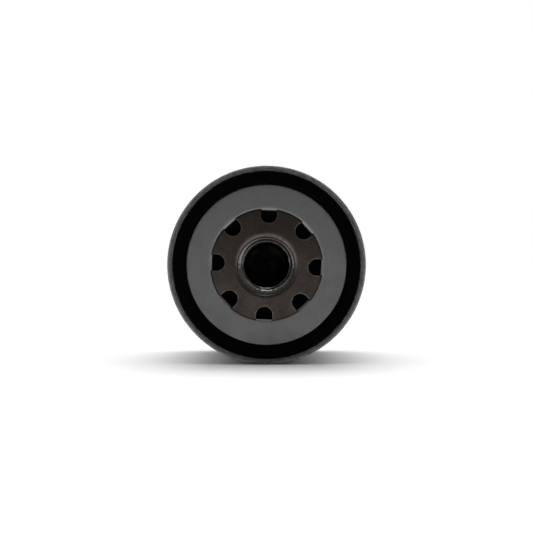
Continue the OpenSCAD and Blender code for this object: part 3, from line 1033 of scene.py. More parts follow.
@dataclass(frozen=True)
class SetResin:
    """Poured adhesive that has set: dull, with small bubbles and a slightly uneven face."""

    name: str
    colour: Colour
    bubble: Colour
    bubbles: float = 700.0
    depth: float = 0.00005

    def material(self) -> bpy.types.Material:
        """Builds the material.

        Returns:
            The new material.
        """
        made, nodes, shader = new_material(self.name)
        place = nodes.add("ShaderNodeTexCoord").outputs["Object"]
        cells = nodes.add("ShaderNodeTexVoronoi")
        nodes.put(place, cells.inputs["Vector"])
        cells.inputs["Scale"].default_value = self.bubbles
        pit = nodes.stretch(cells.outputs["Distance"], 0.12, 0.3, 1.0, 0.0)
        patch = nodes.use(Group.MOTTLE, scale=200.0, specks=0.4).outputs[0]
        share = nodes.shares(pit, 0.5, patch, 0.35, clamp=True)
        nodes.put(nodes.mix(share, self.colour, self.bubble), shader.inputs["Base Color"])
        nodes.put(nodes.stretch(patch, 0.0, 1.0, 0.45, 0.65), shader.inputs["Roughness"])
        bumped(nodes, shader, nodes.maths("SUBTRACT", patch, pit), self.depth)
        return made


LID_PLATING = LidPlating()
BAKED_PAINT = BakedPaint()
PHOSPHATE = PhosphateSteel()
GASKET_RUBBER = Rubber("moulded_rubber")
VALVE_RUBBER = Rubber("flap_rubber", colour=(0.0016, 0.0015, 0.0015, 1))
PAPER = FilterPaper()
POTTING = SetResin("potting_mix", (0.035, 0.028, 0.024, 1), (0.09, 0.075, 0.062, 1))
COMPOUND = SetResin("seam_paste", (0.35, 0.27, 0.12, 1), (0.46, 0.37, 0.2, 1))
TIN = PressedSteel(
    "tin_plate", (0.5, 0.485, 0.46, 1), (0.33, 0.315, 0.29, 1), (0.72, 0.71, 0.69, 1), 0.36
)
TUBE_STEEL = PressedSteel(
    "tube_sheet", (0.36, 0.36, 0.365, 1), (0.22, 0.22, 0.22, 1), (0.6, 0.6, 0.6, 1), 0.42, across=1200.0
)
VALVE_STEEL = PressedSteel(
    "valve_sheet", (0.44, 0.42, 0.37, 1), (0.3, 0.28, 0.24, 1), (0.66, 0.65, 0.62, 1), 0.38
)
# Partly a black-oxide finish and partly painted shade: darkened so that the deep bore and the valve inside it
# read black.
BORE_SHADE_BLACK_STEEL = PressedSteel(
    "blackened_steel_bore_shade",
    (0.022, 0.022, 0.023, 1),
    (0.012, 0.0115, 0.011, 1),
    (0.11, 0.11, 0.11, 1),
    0.5,
    along=5.0,
)
WIRE = PressedSteel(
    "spring_wire",
    (0.3, 0.3, 0.31, 1),
    (0.13, 0.13, 0.14, 1),
    (0.5, 0.5, 0.5, 1),
    0.34,
    across=900.0,
    along=40.0,
)
MADE: dict[str, bpy.types.Material] = {}


def dress(obj: bpy.types.Object, finish: object) -> None:
    """Gives the object one finish. A finish's material is made once and shared.

    Args:
        obj: The object.
        finish: Its finish.
    """
    if finish.name not in MADE:
        MADE[finish.name] = finish.material()
    obj.data.materials.clear()
    obj.data.materials.append(MADE[finish.name])


def place(obj: bpy.types.Object, finish: object, body: str, slot: str, *nodes: str) -> bpy.types.Object:
    """Dresses a new piece and ties it to the frame.

    Args:
        obj: The new piece.
        finish: Its finish.
        body: The body that it rides on.
        slot: The record's material slot. Not used.
        nodes: The frame's nodes that it stands for.

    Returns:
        The piece.
    """
    dress(obj, finish)
    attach(obj, body)
    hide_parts(*nodes)
    log.info("%s: %d faces, stands for %s", obj.name, len(obj.data.polygons), ", ".join(nodes))
    return obj


# ---------------------------------------------------------------- the filter's sub-assemblies


@dataclass(frozen=True)
class Span:
    """Where a frame's node lies, in millimetres: its outer radius and its stretch along Y."""

    radius: float
    front: float
    back: float

    @classmethod
    def of(cls, node: str) -> "Span":
        """Reads the span of a node from the frame."""
        low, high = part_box(node)
        return cls(high.x / MM, low.y / MM, high.y / MM)

    def section(self, inner: float) -> list:
        """The four corners of a ring's section, from an inner radius to the node's own."""
        return [[inner, self.front], [self.radius, self.front], [self.radius, self.back], [inner, self.back]]


@dataclass
class Housing:
    """The drawn can and the lid that is seamed onto its open end."""

    can_t: float = 0.35
    seam_lip: float = 0.9
    neck_len: float = 0.4
    neck_ramp: float = 2.0
    shoulder_r: float = 6.5
    end_rise: float = 2.2
    step_bend: float = 1.2
    step_slope: float = 60.0
    step_in_r: float = 19.3
    flutes: int = 14
    flute_depth: float = 0.85
    flute_len: float = 24.0
    flute_ramp: float = 2.5
    flute_blend: float = 0.13
    flute_clear: float = 1.2
    neck_bend: float = 0.9
    hook_room: float = 0.25
    hook_overlap: float = 0.5
    can_step: float = 1.3
    can_segments: int = 280
    lid_t: float = 0.5
    seam_gap: float = 0.02
    sealant_t: float = 0.2
    seam_h: float = 3.4
    seam_proud: float = 0.6
    seam_corner: float = 0.27
    groove_in_r: float = 31.0
    groove_bend: float = 0.6
    lid_bend: float = 0.4
    opening_r: float = 21.55
    slots: int = 8
    slot_w: float = 6.3
    slot_turn: float = 2.7
    tab_gap: float = 0.15
    tab_depth: float = 2.65
    tab_face_r: float = 20.75
    tab_bend: float = 0.55
    tab_root: float = 0.7
    tab_sink: float = 0.004
    edge_round: float = 0.16
    chuck_mark_r: float = 36.75
    chuck_mark: float = 0.06
    rim_wear: float = 0.5
    shoulder_wear: float = 0.3
    chuck_wear: float = 0.2
    opening_wear: float = 0.5
    lid_segments: int = 264
    lid: Span = field(init=False)
    can: Span = field(init=False)

    def __post_init__(self) -> None:
        """Works out the radii of the folded seam, from the outside in, each at mid sheet."""
        self.lid, self.can = Span.of("seaming_lid"), Span.of("can")
        layer = (self.lid_t + self.can_t) / 2 + self.seam_gap
        self.cover_wall = self.lid.radius - self.lid_t / 2
        self.body_hook = self.cover_wall - layer
        self.cover_hook = self.body_hook - layer
        self.neck = self.cover_hook - layer
        self.chuck_wall = self.neck - layer
        self.wall_r = self.lid.radius - self.seam_lip
        self.seam_top = self.lid.front
        self.seam_bottom = self.seam_top + self.seam_h
        self.lid_front = self.seam_top + self.seam_proud
        self.groove_floor = Span.of("gasket").back + 0.02

    def can_line(self) -> np.ndarray:
        """The can's line at mid sheet.

        Returns:
            Its points, from the tip of the body hook to the centre of the closed end.
        """
        hook_r = (self.body_hook - self.neck) / 2
        hook_top = self.seam_top + self.lid_t + self.sealant_t + 2 * self.seam_gap
        hook_y = hook_top + self.can_t / 2 + hook_r
        wall = self.wall_r - self.can_t / 2
        end = self.can.back - self.can_t / 2
        ring = end - self.end_rise
        slope = math.radians(self.step_slope)
        fall = 2 * self.step_bend * (1 - math.cos(slope))
        run = (self.end_rise - fall) / math.sin(slope)
        step_out = self.step_in_r + 2 * self.step_bend * math.sin(slope) + run * math.cos(slope)
        return joined(
            [self.body_hook, self.seam_bottom - self.lid_t - self.hook_room],
            arc(((self.body_hook + self.neck) / 2, hook_y), hook_r, 0, -180, 8),
            softened_line(
                [
                    [self.neck, hook_y + 0.2],
                    [self.neck, self.seam_bottom + self.neck_len],
                    [wall, self.seam_bottom + self.neck_len + self.neck_ramp],
                    [wall, ring - self.shoulder_r - 0.2],
                ],
                self.neck_bend,
            ),
            arc((wall - self.shoulder_r, ring - self.shoulder_r), self.shoulder_r, 0, 90, 18),
            arc((step_out, ring + self.step_bend), self.step_bend, -90, -90 - self.step_slope, 8),
            arc((self.step_in_r, end - self.step_bend), self.step_bend, 90 - self.step_slope, 90, 8),
            [0.0, end],
        )

    def fluted(self, grid: np.ndarray, inset: float) -> np.ndarray:
        """Presses the wrench flutes into a skin of the can.

        A flute is a flat at a distance d from the axis, where d falls from outside the wall to the flute's
        depth along its ramp. At an angle p from the flute's middle the flat lies at d / cos p from the axis.
        The new radius is the soft minimum -k ln(exp(-r / k) + exp(-d / (k cos p))) of the old radius r and
        that.

        Args:
            grid: The skin's points, of shape (segments, points, 3).
            inset: How far the skin lies inside the can's outer skin.

        Returns:
            The pressed grid.
        """
        start = self.can.back - self.flute_len
        y = grid[..., 1]
        press = smooth_step(y, start, start + self.flute_ramp)
        flat = self.wall_r + self.flute_clear - inset - (self.flute_depth + self.flute_clear) * press
        angle = np.arctan2(grid[..., 0], grid[..., 2])
        pitch = 2 * np.pi / self.flutes
        off = (angle + pitch / 2) % pitch - pitch / 2
        old = np.hypot(grid[..., 0], grid[..., 2])
        limit = flat / np.cos(off)
        k = self.flute_blend
        new = np.minimum(old, limit) - k * np.log1p(np.exp(-np.abs(old - limit) / k))
        share = np.where(old > 1, new / np.maximum(old, 1), 1.0)
        share = np.where(y > start - 1, share, 1.0)
        return grid * np.stack([share, np.ones_like(share), share], axis=-1)

    def make_can(self) -> bpy.types.Object:
        """The can: an outer skin from the closed end to the hook's tip, and an inner skin back.

        Returns:
            The can, with its wear stored.
        """
        line = spaced(self.can_line(), self.can_step)
        outer = beside(line, -self.can_t / 2)[::-1]
        inner = beside(line, self.can_t / 2)
        outer[0, 0] = inner[-1, 0] = 0.0
        skins = np.concatenate(
            [
                self.fluted(turned(outer, self.can_segments), 0.0),
                self.fluted(turned(inner, self.can_segments), self.can_t),
            ],
            axis=1,
        )
        obj = new_object("can_shell", skins, quads(*skins.shape[:2], True, False).tolist())
        points = coordinates(obj)
        radius, y = np.hypot(points[:, 0], points[:, 2]), points[:, 1]
        pitch = 2 * np.pi / self.flutes
        off = (np.arctan2(points[:, 0], points[:, 2]) + pitch / 2) % pitch - pitch / 2
        grown = smooth_step(y, self.can.back - self.flute_len, self.can.back - 19)
        ridge = bump(np.abs(off), pitch / 2, 0.03) * grown * (radius > 35)
        rim = self.rim_wear * bump(radius, 20.0, 1.1) * (y > self.can.back - 1.2)
        round_end = bump(y, self.can.back - self.end_rise - 1.6, 1.6) * (radius > 30)
        mark(obj, "wear", np.maximum(ridge, np.maximum(rim, self.shoulder_wear * round_end)))
        return obj

    def lid_line(self) -> np.ndarray:
        """The lid's line at mid sheet.

        Returns:
            Its points, from the opening, through the gasket's groove and over the seam to the hook.
        """
        mid = self.lid_front + self.lid_t / 2
        floor = self.groove_floor + self.lid_t / 2
        wall = self.groove_in_r - self.lid_t / 2
        top = self.seam_top + self.lid_t / 2
        fold_r = (self.cover_wall - self.cover_hook) / 2
        fold_y = self.seam_bottom - self.lid_t / 2 - fold_r
        hook_tip = self.seam_top + self.lid_t + self.sealant_t + 2 * self.seam_gap + self.can_t
        c, bend = self.seam_corner, self.groove_bend
        return joined(
            [self.opening_r, mid],
            arc((wall - self.lid_bend, mid + self.lid_bend), self.lid_bend, -90, 0, 10),
            arc((wall + bend, floor - bend), bend, 180, 90, 6),
            arc((self.chuck_wall - bend, floor - bend), bend, 90, 0, 6),
            arc((self.chuck_wall + c, top + c), c, 180, 270, 8),
            arc((self.cover_wall - c, top + c), c, 270, 360, 8),
            arc(((self.cover_wall + self.cover_hook) / 2, fold_y), fold_r, 0, 180, 8),
            [self.cover_hook, hook_tip + self.hook_overlap],
        )

    def make_tab(self, number: int) -> bpy.types.Object:
        """One of the lid's tabs, bent down into an inlet slot.

        Args:
            number: Which tab, from 0.

        Returns:
            The tab.
        """
        mid = self.lid_front + self.lid_t / 2
        half = self.slot_w / 2 - self.tab_gap
        root = self.tab_face_r + self.lid_t / 2 + self.tab_bend
        line = joined(
            [self.tab_face_r + self.lid_t / 2, self.lid_front + self.tab_depth],
            arc((root, mid + self.tab_bend), self.tab_bend, 180, 270, 10),
            [root + self.tab_root, mid],
        )
        thin = self.lid_t / 2 - self.tab_sink
        loop = joined(beside(line, thin), beside(line, -thin)[::-1])
        y, z = loop[:, 1], loop[:, 0]
        sides = np.array([np.stack([np.full(len(loop), x), y, z], axis=1) for x in (-half, half)])
        angle = self.slot_turn + number * 360 / self.slots
        return prism_object(f"tab_{number}", about_axis(sides, angle))

    def make_lid(self) -> bpy.types.Object:
        """The lid with its groove, its part of the seam and its eight tabs.

        Returns:
            The lid, with its wear stored.
        """
        outline = sheet(spaced(self.lid_line(), 0.9), self.lid_t)
        inner, face = self.opening_r, self.lid_front
        back = face + self.lid_t
        e = self.edge_round
        inside = outline[:, 0] < inner + 0.01
        front_edge = arc((inner + e, face + e), e, 270, 180, 5)
        back_edge = arc((inner + e, back - e), e, 180, 90, 4)
        outline = joined(outline[~inside], front_edge, back_edge)
        obj = turned_object("lid_pressing", outline, self.lid_segments)
        combine(obj, [self.make_tab(i) for i in range(self.slots)], "UNION")
        points = coordinates(obj)
        radius, y = np.hypot(points[:, 0], points[:, 2]), points[:, 1]
        on_top = y < self.seam_top + 0.12
        points[:, 1] += self.chuck_mark * bump(radius, self.chuck_mark_r, 0.14) * on_top
        obj.data.vertices.foreach_set("co", (points * MM).ravel())
        obj.data.update()
        outer = bump(radius, self.lid.radius - 0.25, 0.45) * (y < self.seam_bottom)
        inner = self.chuck_wear * bump(radius, self.chuck_wall, 0.25) * (y < self.seam_top + 0.5)
        edge = self.opening_wear * bump(radius, self.opening_r, 0.25) * (y < self.lid_front + 0.2)
        mark(obj, "wear", np.maximum(outer, np.maximum(inner, edge)))
        return obj

    def build(self, frame: dict) -> None:
        """Makes the can and the lid and dresses the compound in the seam.

        Args:
            frame: The loaded frame.
        """
        place(self.make_can(), BAKED_PAINT, "housing", "can_paint", "can")
        place(self.make_lid(), LID_PLATING, "housing", "lid_steel", "seaming_lid")
        dress(frame["nodes"]["seam_sealant"], COMPOUND)


def softened_line(corners: list, radius: float) -> np.ndarray:
    """An open line whose inner corners are rounded; see softened for the curve.

    Args:
        corners: The line's corners.
        radius: Distance from each corner at which its rounding starts.

    Returns:
        The line's points.
    """
    points = softened(corners, radius, 5).reshape(len(corners), -1, 2)
    return joined(corners[0], points[1:-1].reshape(-1, 2), corners[-1])


@dataclass
class GasketRing:
    """The square-section rubber gasket in the lid's groove."""

    width: float = 4.4
    corner: float = 0.75
    mould_line: float = 0.02
    mould_line_w: float = 0.18
    mould_line_off: float = 0.8
    segments: int = 256

    def build(self) -> None:
        """Makes the gasket: a rounded section whose sealing face has two very shallow grooves."""
        span = Span.of("gasket")
        inner = span.radius - self.width
        outline = spaced(softened(span.section(inner), self.corner, 8), 0.3, closed=True)
        middle = inner + self.width / 2
        off, width = self.mould_line_off, self.mould_line_w
        shallow = bump(outline[:, 0], middle - off, width) + bump(outline[:, 0], middle + off, width)
        outline[:, 1] += self.mould_line * shallow * (outline[:, 1] < span.front + 0.2)
        obj = turned_object("gasket_ring", outline, self.segments)
        place(obj, GASKET_RUBBER, "housing", "gasket_rubber", "gasket")


@dataclass
class BasePlate:
    """The thick threaded base plate with its inlet slots."""

    thread_d: float = 19.05
    pitch: float = 1.5875
    bore_r: float = 8.80069
    thread_len: float = 8.0
    collar_r: float = 11.925
    collar_chamfer: float = 0.6
    back_fillet: float = 1.3
    plate_t: float = 3.0
    plate_edge: float = 0.8
    plate_step: float = 0.52
    boss_r: float = 21.35
    boss_edge: float = 0.1
    mouth_r: float = 3.0
    mouth_sweep: float = 36.0
    countersink_w: float = 2.1
    sink_end: float = 0.3
    sink_bend: tuple[float, float] = (0.4, 0.7)
    thread_step: float = 0.075
    off_x: float = -0.19
    off_z: float = -0.42
    corner_groove: float = 0.1
    chatter: float = 0.05
    chatter_count: int = 30
    crown: float = 0.55
    slots: int = 8
    slot_w: float = 6.3
    slot_in_r: float = 16.05
    slot_out_r: float = 22.75
    slot_turn: float = 2.7
    slot_edge: float = 0.15
    slot_flare: float = 0.45
    slot_wear: float = 0.7
    mouth_wear: float = 0.55
    mouth_wear_r: float = 11.4
    segments: int = 256

    def __post_init__(self) -> None:
        """Reads the plate's place from the frame."""
        span = Span.of("tapping_plate")
        self.front, self.radius = span.front, span.radius
        self.back = self.front + self.plate_t
        self.cone_r = self.bore_r + self.countersink_w
        self.mouth_centre = (
            self.cone_r + self.mouth_r * math.sin(math.radians(self.mouth_sweep)),
            self.front + self.mouth_r,
        )

    def wall_line(self) -> np.ndarray:
        """The inner wall's line.

        Returns:
            Its points, from the collar's end along the thread and up the countersink to the plate's face.
        """
        mouth = arc(self.mouth_centre, self.mouth_r, -90 - self.mouth_sweep, -90, 30)
        bore = np.array([[self.bore_r, self.thread_len], [self.bore_r, self.sink_end]])
        t = np.linspace(0, 1, 30)[:, None]
        bend = np.array([self.bore_r + self.sink_bend[0], mouth[0, 1] + self.sink_bend[1]])
        sink = (1 - t) ** 2 * bore[1] + 2 * t * (1 - t) * bend + t**2 * mouth[0]
        return joined(spaced(bore, self.thread_step)[:-1], sink[:-1], mouth)

    def body_line(self) -> np.ndarray:
        """The rest of the plate's line.

        Returns:
            Its points, from the edge of the face round the flange to the collar's end.
        """
        e, fillet = self.boss_edge, self.back_fillet
        face = arc((self.boss_r - e, self.front + e), e, -90, 0, 5)
        rest = joined(
            [self.boss_r, self.front + self.plate_step],
            [self.radius - self.plate_edge, self.front + self.plate_step],
            [self.radius, self.front + self.plate_step + self.plate_edge],
            [self.radius, self.back],
            arc((self.collar_r + fillet, self.back + fillet), fillet, 270, 180, 8),
            [self.collar_r, self.thread_len - self.collar_chamfer],
            [self.collar_r - self.collar_chamfer, self.thread_len],
        )
        return joined(face, spaced(rest, 1.6))

    def threaded(self, grid: np.ndarray) -> np.ndarray:
        """Cuts the thread into the wall.

        The groove follows the phase p = y / pitch - turn. Its root is flat for an eighth of the pitch and its
        crest for a quarter, with straight flanks between, and the wall's radius becomes the larger of its own
        and the groove's.

        Args:
            grid: The wall's points, of shape (segments, points, 3).

        Returns:
            The cut grid.
        """
        radius = np.hypot(grid[..., 0], grid[..., 2])
        turn = np.arctan2(grid[..., 0], grid[..., 2]) / (2 * np.pi)
        phase = (grid[..., 1] / self.pitch - turn) % 1.0
        flank = np.clip((3 / 8 - np.abs(phase - 0.5)) / (5 / 16), 0, 1)
        groove = self.bore_r + (self.thread_d / 2 - self.bore_r) * flank
        share = np.maximum(radius, groove) / radius
        return grid * np.stack([share, np.ones_like(share), share], axis=-1)

    def machined_mouth(self, grid: np.ndarray) -> np.ndarray:
        """Moves the countersink's outer corner a little off the axis and adds chatter marks.

        The sideways move is a hill over the radius, 1 at the corner and 0 at the bore and at the end of the
        rounded mouth. The corner gets a fine groove. The chatter is a cosine round the axis, on the
        countersink alone.

        Args:
            grid: The wall's points.

        Returns:
            The moved grid.
        """
        radius = np.hypot(grid[..., 0], grid[..., 2])
        angle = np.arctan2(grid[..., 0], grid[..., 2])
        rise = smooth_step(radius, self.bore_r + 0.5, self.cone_r)
        fall = 1 - smooth_step(radius, self.cone_r, self.mouth_centre[0])
        hill = np.where(radius < self.cone_r, rise, fall)
        cone = smooth_step(radius, self.bore_r + 0.5, self.bore_r + 0.9) * (radius < self.cone_r - 0.05)
        low_side = 0.35 + 0.65 * smooth_step(-np.cos(angle), 0.2, 1.0)
        depth = self.corner_groove * bump(radius, self.cone_r, 0.09)
        depth = depth + self.chatter * cone * low_side * np.cos(self.chatter_count * angle)
        return grid + np.stack([self.off_x * hill, depth, self.off_z * hill], axis=-1)

    def make_slot(self, number: int) -> bpy.types.Object:
        """The solid that cuts one inlet slot.

        It has a round inner end, straight sides, edges rounded at the face, and a flare where it leaves the
        boss.

        Args:
            number: Which slot, from 0.

        Returns:
            The cutting solid.
        """
        half, e = self.slot_w / 2, self.slot_edge
        bend = np.radians(np.linspace(0, 90, 7))
        rows = [(self.front - 1, e)]
        rows += [(self.front + e * (1 - math.cos(a)), e * (1 - math.sin(a))) for a in bend]
        rows += [(self.back + 1, 0.0)]
        middle = self.slot_in_r + half
        corner = math.sqrt(self.boss_r**2 - half**2)
        t = np.linspace(0, 1, 8)
        flare = self.slot_flare * (1 - np.sqrt(1 - t**2))
        flare_z = corner - self.slot_flare + self.slot_flare * t
        loops = []
        for y, d in rows:
            inner = arc((0.0, middle), half + d, 180, 360, 24)
            right = np.stack([half + d + flare, flare_z], axis=1)
            reach = half + d + self.slot_flare
            out = [[reach, self.slot_out_r], [-reach, self.slot_out_r]]
            left = right[::-1] * np.array([-1.0, 1.0])
            loop = joined(inner, right, out, left)
            loops.append(np.stack([loop[:, 0], np.full(len(loop), y), loop[:, 1]], axis=1))
        angle = self.slot_turn + number * 360 / self.slots
        return prism_object(f"slot_{number}", about_axis(np.array(loops), angle))

    def mark_surfaces(self, obj: bpy.types.Object) -> None:
        """Stores where the plate is rubbed and machined and where shade is painted in its gap and corner
        groove, and crowns its face.

        The crown moves a point by its height times the square of the radius over the boss's, at the face, and
        by less and less down to the flange.

        Args:
            obj: The plate.
        """
        points = coordinates(obj)
        radius, y = np.hypot(points[:, 0], points[:, 2]), points[:, 1]
        pitch = 2 * np.pi / self.slots
        turn = np.arctan2(points[:, 0], points[:, 2]) - math.radians(self.slot_turn)
        off = (turn + pitch / 2) % pitch - pitch / 2
        x, z = radius * np.sin(off), radius * np.cos(off)
        half = self.slot_w / 2
        inner = np.abs(np.hypot(x, z - self.slot_in_r - half) - half)
        side = np.where(z < self.slot_in_r + half, inner, np.abs(np.abs(x) - half))
        face = y < self.front + 0.3
        slot = bump(side, 0.08, 0.2) * face * (radius > self.slot_in_r - 0.5) * (radius < self.boss_r)
        mouth = self.mouth_wear * bump(radius, self.mouth_wear_r, 0.5) * (y < self.front + 2.4)
        mark(obj, "wear", np.maximum(self.slot_wear * slot, mouth))
        off_r = np.hypot(points[:, 0] - self.off_x, points[:, 2] - self.off_z)
        bright = 1 - smooth_step(off_r, self.cone_r - 0.12, self.cone_r + 0.08)
        mark(obj, "machined", bright * (y < self.thread_len))
        # Painted shade: a near-black line in the gap between the boss and the lid and in the countersink's
        # corner groove.
        rim = bump(radius, self.boss_r + 0.1, 0.16) * (y < self.front + 1.2)
        mark(obj, "crease_shade", np.maximum(bump(off_r, self.cone_r, 0.2) * (y < 0.5), rim))
        fade = 1 - smooth_step(y, self.front + 0.3, self.front + 2.2)
        points[:, 1] += self.crown * (radius / self.boss_r) ** 2 * fade
        obj.data.vertices.foreach_set("co", (points * MM).ravel())
        obj.data.update()

    def build(self) -> None:
        """Makes the plate: wall and body in one surface, then the eight slots."""
        wall = self.machined_mouth(self.threaded(turned(self.wall_line(), self.segments)))
        flat = np.array([[self.mouth_centre[0], self.front], [self.boss_r - self.boss_edge, self.front]])
        rest = turned(joined(spaced(flat, 0.4)[1:-1], self.body_line()), self.segments)
        grid = np.concatenate([wall, rest], axis=1)
        obj = new_object("base_plate", grid, quads(*grid.shape[:2], True, True).tolist())
        combine(obj, [self.make_slot(i) for i in range(self.slots)], "DIFFERENCE")
        self.mark_surfaces(obj)
        place(obj, PHOSPHATE, "housing", "base_steel", "tapping_plate")


@dataclass
class AntiDrainValve:
    """The rubber valve on the base plate's collar: a gripping hub and a flap whose lip closes the slots."""

    hub_wall: float = 2.5
    flap_t: float = 1.3
    plate_back: float = -0.30509
    plate_fillet: float = 1.3
    rubber_gap: float = 0.05
    hub_in_r: float = 11.975
    segments: int = 160

    def build(self) -> None:
        """Makes the valve."""
        span = Span.of("anti_drain_valve")
        inner, outer = self.hub_in_r, self.hub_in_r + self.hub_wall
        hub, lip, edge = self.plate_back + self.plate_fillet + self.rubber_gap, span.front, span.radius
        corners = [
            [inner, hub],
            [outer, hub],
            [outer, hub + 1],
            [edge - 1.5, lip + 0.55],
            [edge - 1.1, lip],
            [edge - 0.2, lip],
            [edge, lip + 0.5],
            [edge - 0.8, lip + 1.3],
            [outer, hub + 1 + self.flap_t],
            [outer, span.back],
            [inner, span.back],
        ]
        outline = spaced(softened(corners, 0.35, 4), 0.5, closed=True)
        obj = turned_object("drain_flap", outline, self.segments)
        place(obj, VALVE_RUBBER, "anti_drain_lip", "valve_rubber", "anti_drain_valve")
        self.bend(obj, hub, lip)

    def bend(self, obj: bpy.types.Object, hub: float, lip: float) -> None:
        """Takes the valve off its body and bakes its place into its mesh.

        Args:
            obj: The valve.
            hub: Where the hub starts along Y. Not used.
            lip: Where the lip starts along Y. Not used.
        """
        obj.parent = None
        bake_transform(obj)


@dataclass
class Cartridge:
    """The pleated element with its two end caps, its perforated tube and its clip."""

    cap_t: float = 0.35
    flange_len: float = 2.0
    flange_in_r: float = 12.375
    cap_rim: float = 2.6
    bend: float = 0.6
    bead_r: float = 25.4
    bead_w: float = 1.5
    bead_rise: float = 0.4
    pleats: int = 46
    paper_t: float = 0.5
    media_in_r: float = 13.875
    sway: float = 0.006
    clip_t: float = 0.3
    clip_depth: float = 5.0
    cap_segments: int = 180

    def cap_outline(self, face: float, way: int) -> np.ndarray:
        """An end cap's closed outline.

        Args:
            face: Where the cap's outer face lies along Y.
            way: 1 when the cap's rim runs towards +Y, -1 when it runs towards -Y.

        Returns:
            The outline: a flange, a flat with a pressed bead, and a rim.
        """
        edge = Span.of("upper_end_cap").radius - self.cap_t / 2
        hole, mid = self.flange_in_r + self.cap_t / 2, self.cap_t / 2
        r = np.linspace(hole + self.bend, edge - self.bend, 70)[1:-1]
        flat = np.stack([r, mid - self.bead_rise * bump(r, self.bead_r, self.bead_w / 2)], axis=1)
        line = joined(
            [hole, self.flange_len],
            arc((hole + self.bend, mid + self.bend), self.bend, 180, 270, 5),
            flat,
            arc((edge - self.bend, mid + self.bend), self.bend, -90, 0, 5),
            [edge, self.cap_rim],
        )
        return sheet(line, self.cap_t) * np.array([1.0, way]) + np.array([0.0, face])

    def pleat_line(self, outer_r: float) -> np.ndarray:
        """The paper's line at mid sheet, all the way round.

        One pleat is half a valley arc, a straight wall, a ridge arc, a straight wall and half a valley arc.
        The other pleats are the same points turned by whole steps about the axis.

        Args:
            outer_r: Radius of the pleats' ridges.

        Returns:
            The closed line's points, in the plane across the axis.
        """
        step = 2 * np.pi / self.pleats
        gap = (2 * np.pi * (self.media_in_r + self.paper_t) / self.pleats - 2 * self.paper_t) / 4
        ridge, valley = gap + self.paper_t / 2, gap + self.paper_t / 2
        ridge_x = outer_r - self.paper_t / 2 - ridge
        valley_x = self.media_in_r + gap + self.paper_t / 2 + valley
        top = arc((ridge_x, 0.0), ridge, -90, 90, 8)
        low = arc((valley_x, 0.0), valley, 180, 90, 4)
        c, s = math.cos(step / 2), math.sin(step / 2)
        before = np.stack([low[:, 0] * c + low[:, 1] * s, low[:, 1] * c - low[:, 0] * s], axis=1)
        after = before[::-1] * np.array([1.0, -1.0])
        one = spaced(joined(before, top, after[:-1]), 2.6)
        angle = (np.arange(self.pleats) * step)[:, None]
        x = one[None, :, 0] * np.cos(angle) - one[None, :, 1] * np.sin(angle)
        y = one[None, :, 0] * np.sin(angle) + one[None, :, 1] * np.cos(angle)
        return np.stack([x, y], axis=-1).reshape(-1, 2)

    def make_media(self) -> bpy.types.Object:
        """The pleated paper: a closed sheet between two skins, slightly wavy along its length.

        Returns:
            The paper, with its folds stored as wear.
        """
        span = Span.of("pleated_media")
        line = self.pleat_line(span.radius)
        ahead, behind = np.roll(line, -1, axis=0), np.roll(line, 1, axis=0)
        along = ahead - behind
        along /= np.maximum(np.linalg.norm(along, axis=1, keepdims=True), 1e-9)
        normal = np.stack([along[:, 1], -along[:, 0]], axis=1)
        y = np.linspace(span.front, span.back, 13)
        skins = []
        for side, rows in ((0.5, y), (-0.5, y[::-1])):
            flat = line + normal * self.paper_t * side
            radius = np.hypot(flat[:, 0], flat[:, 1])
            angle = np.arctan2(flat[:, 1], flat[:, 0])
            middle = smooth_step(radius, self.media_in_r + 2, span.radius - 2)
            wave = np.sin(rows[:, None] * 0.21 + angle[None, :] * 17.0)
            sway = self.sway * wave * (1 - middle)[None, :] * middle[None, :] * 4
            height = np.broadcast_to(rows[:, None], sway.shape)
            skin = [radius * np.cos(angle + sway), height, -radius * np.sin(angle + sway)]
            skins.append(np.stack(skin, axis=-1))
        grid = np.concatenate(skins, axis=0).transpose(1, 0, 2)
        obj = new_object("pleat_pack", grid, quads(*grid.shape[:2], True, True).tolist())
        points = coordinates(obj)
        radius = np.hypot(points[:, 0], points[:, 2])
        mark(obj, "wear", np.maximum(bump(radius, span.radius, 0.5), bump(radius, self.media_in_r, 0.6)))
        return obj

    def make_clip(self) -> bpy.types.Object:
        """The steel channel that holds the paper's two ends together, over one pleat.

        Returns:
            The clip.
        """
        span, media = Span.of("media_clip"), Span.of("pleated_media")
        low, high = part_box("media_clip")
        half = (high.z - low.z) / MM / 2 - self.clip_t / 2
        inner, outer = media.radius - self.clip_depth, span.radius - self.clip_t / 2
        corners = [[inner, half], [outer, half], [outer, -half], [inner, -half]]
        loop = sheet(softened_line(corners, 0.35), self.clip_t)
        rows = np.linspace(span.front, span.back, 12)
        loops = [np.stack([loop[:, 0], np.full(len(loop), y), loop[:, 1]], axis=1) for y in rows]
        return prism_object("seam_channel", np.array(loops))

    def build(self, frame: dict) -> None:
        """Makes the cartridge's pieces and dresses the tube and the potting.

        Args:
            frame: The loaded frame.
        """
        upper, lower = Span.of("upper_end_cap").front, Span.of("lower_end_cap").back
        for name, node, face, way in (
            ("cap_near_base", "upper_end_cap", upper, 1),
            ("cap_near_spring", "lower_end_cap", lower, -1),
        ):
            obj = turned_object(name, self.cap_outline(face, way), self.cap_segments)
            place(obj, TIN, "cartridge", "cap_steel", node)
        place(self.make_media(), PAPER, "cartridge", "filter_paper", "pleated_media")
        place(self.make_clip(), TUBE_STEEL, "cartridge", "tube_steel", "media_clip")
        dress(frame["nodes"]["centre_tube"], TUBE_STEEL)
        for node in ("upper_potting", "lower_potting"):
            dress(frame["nodes"][node], POTTING)


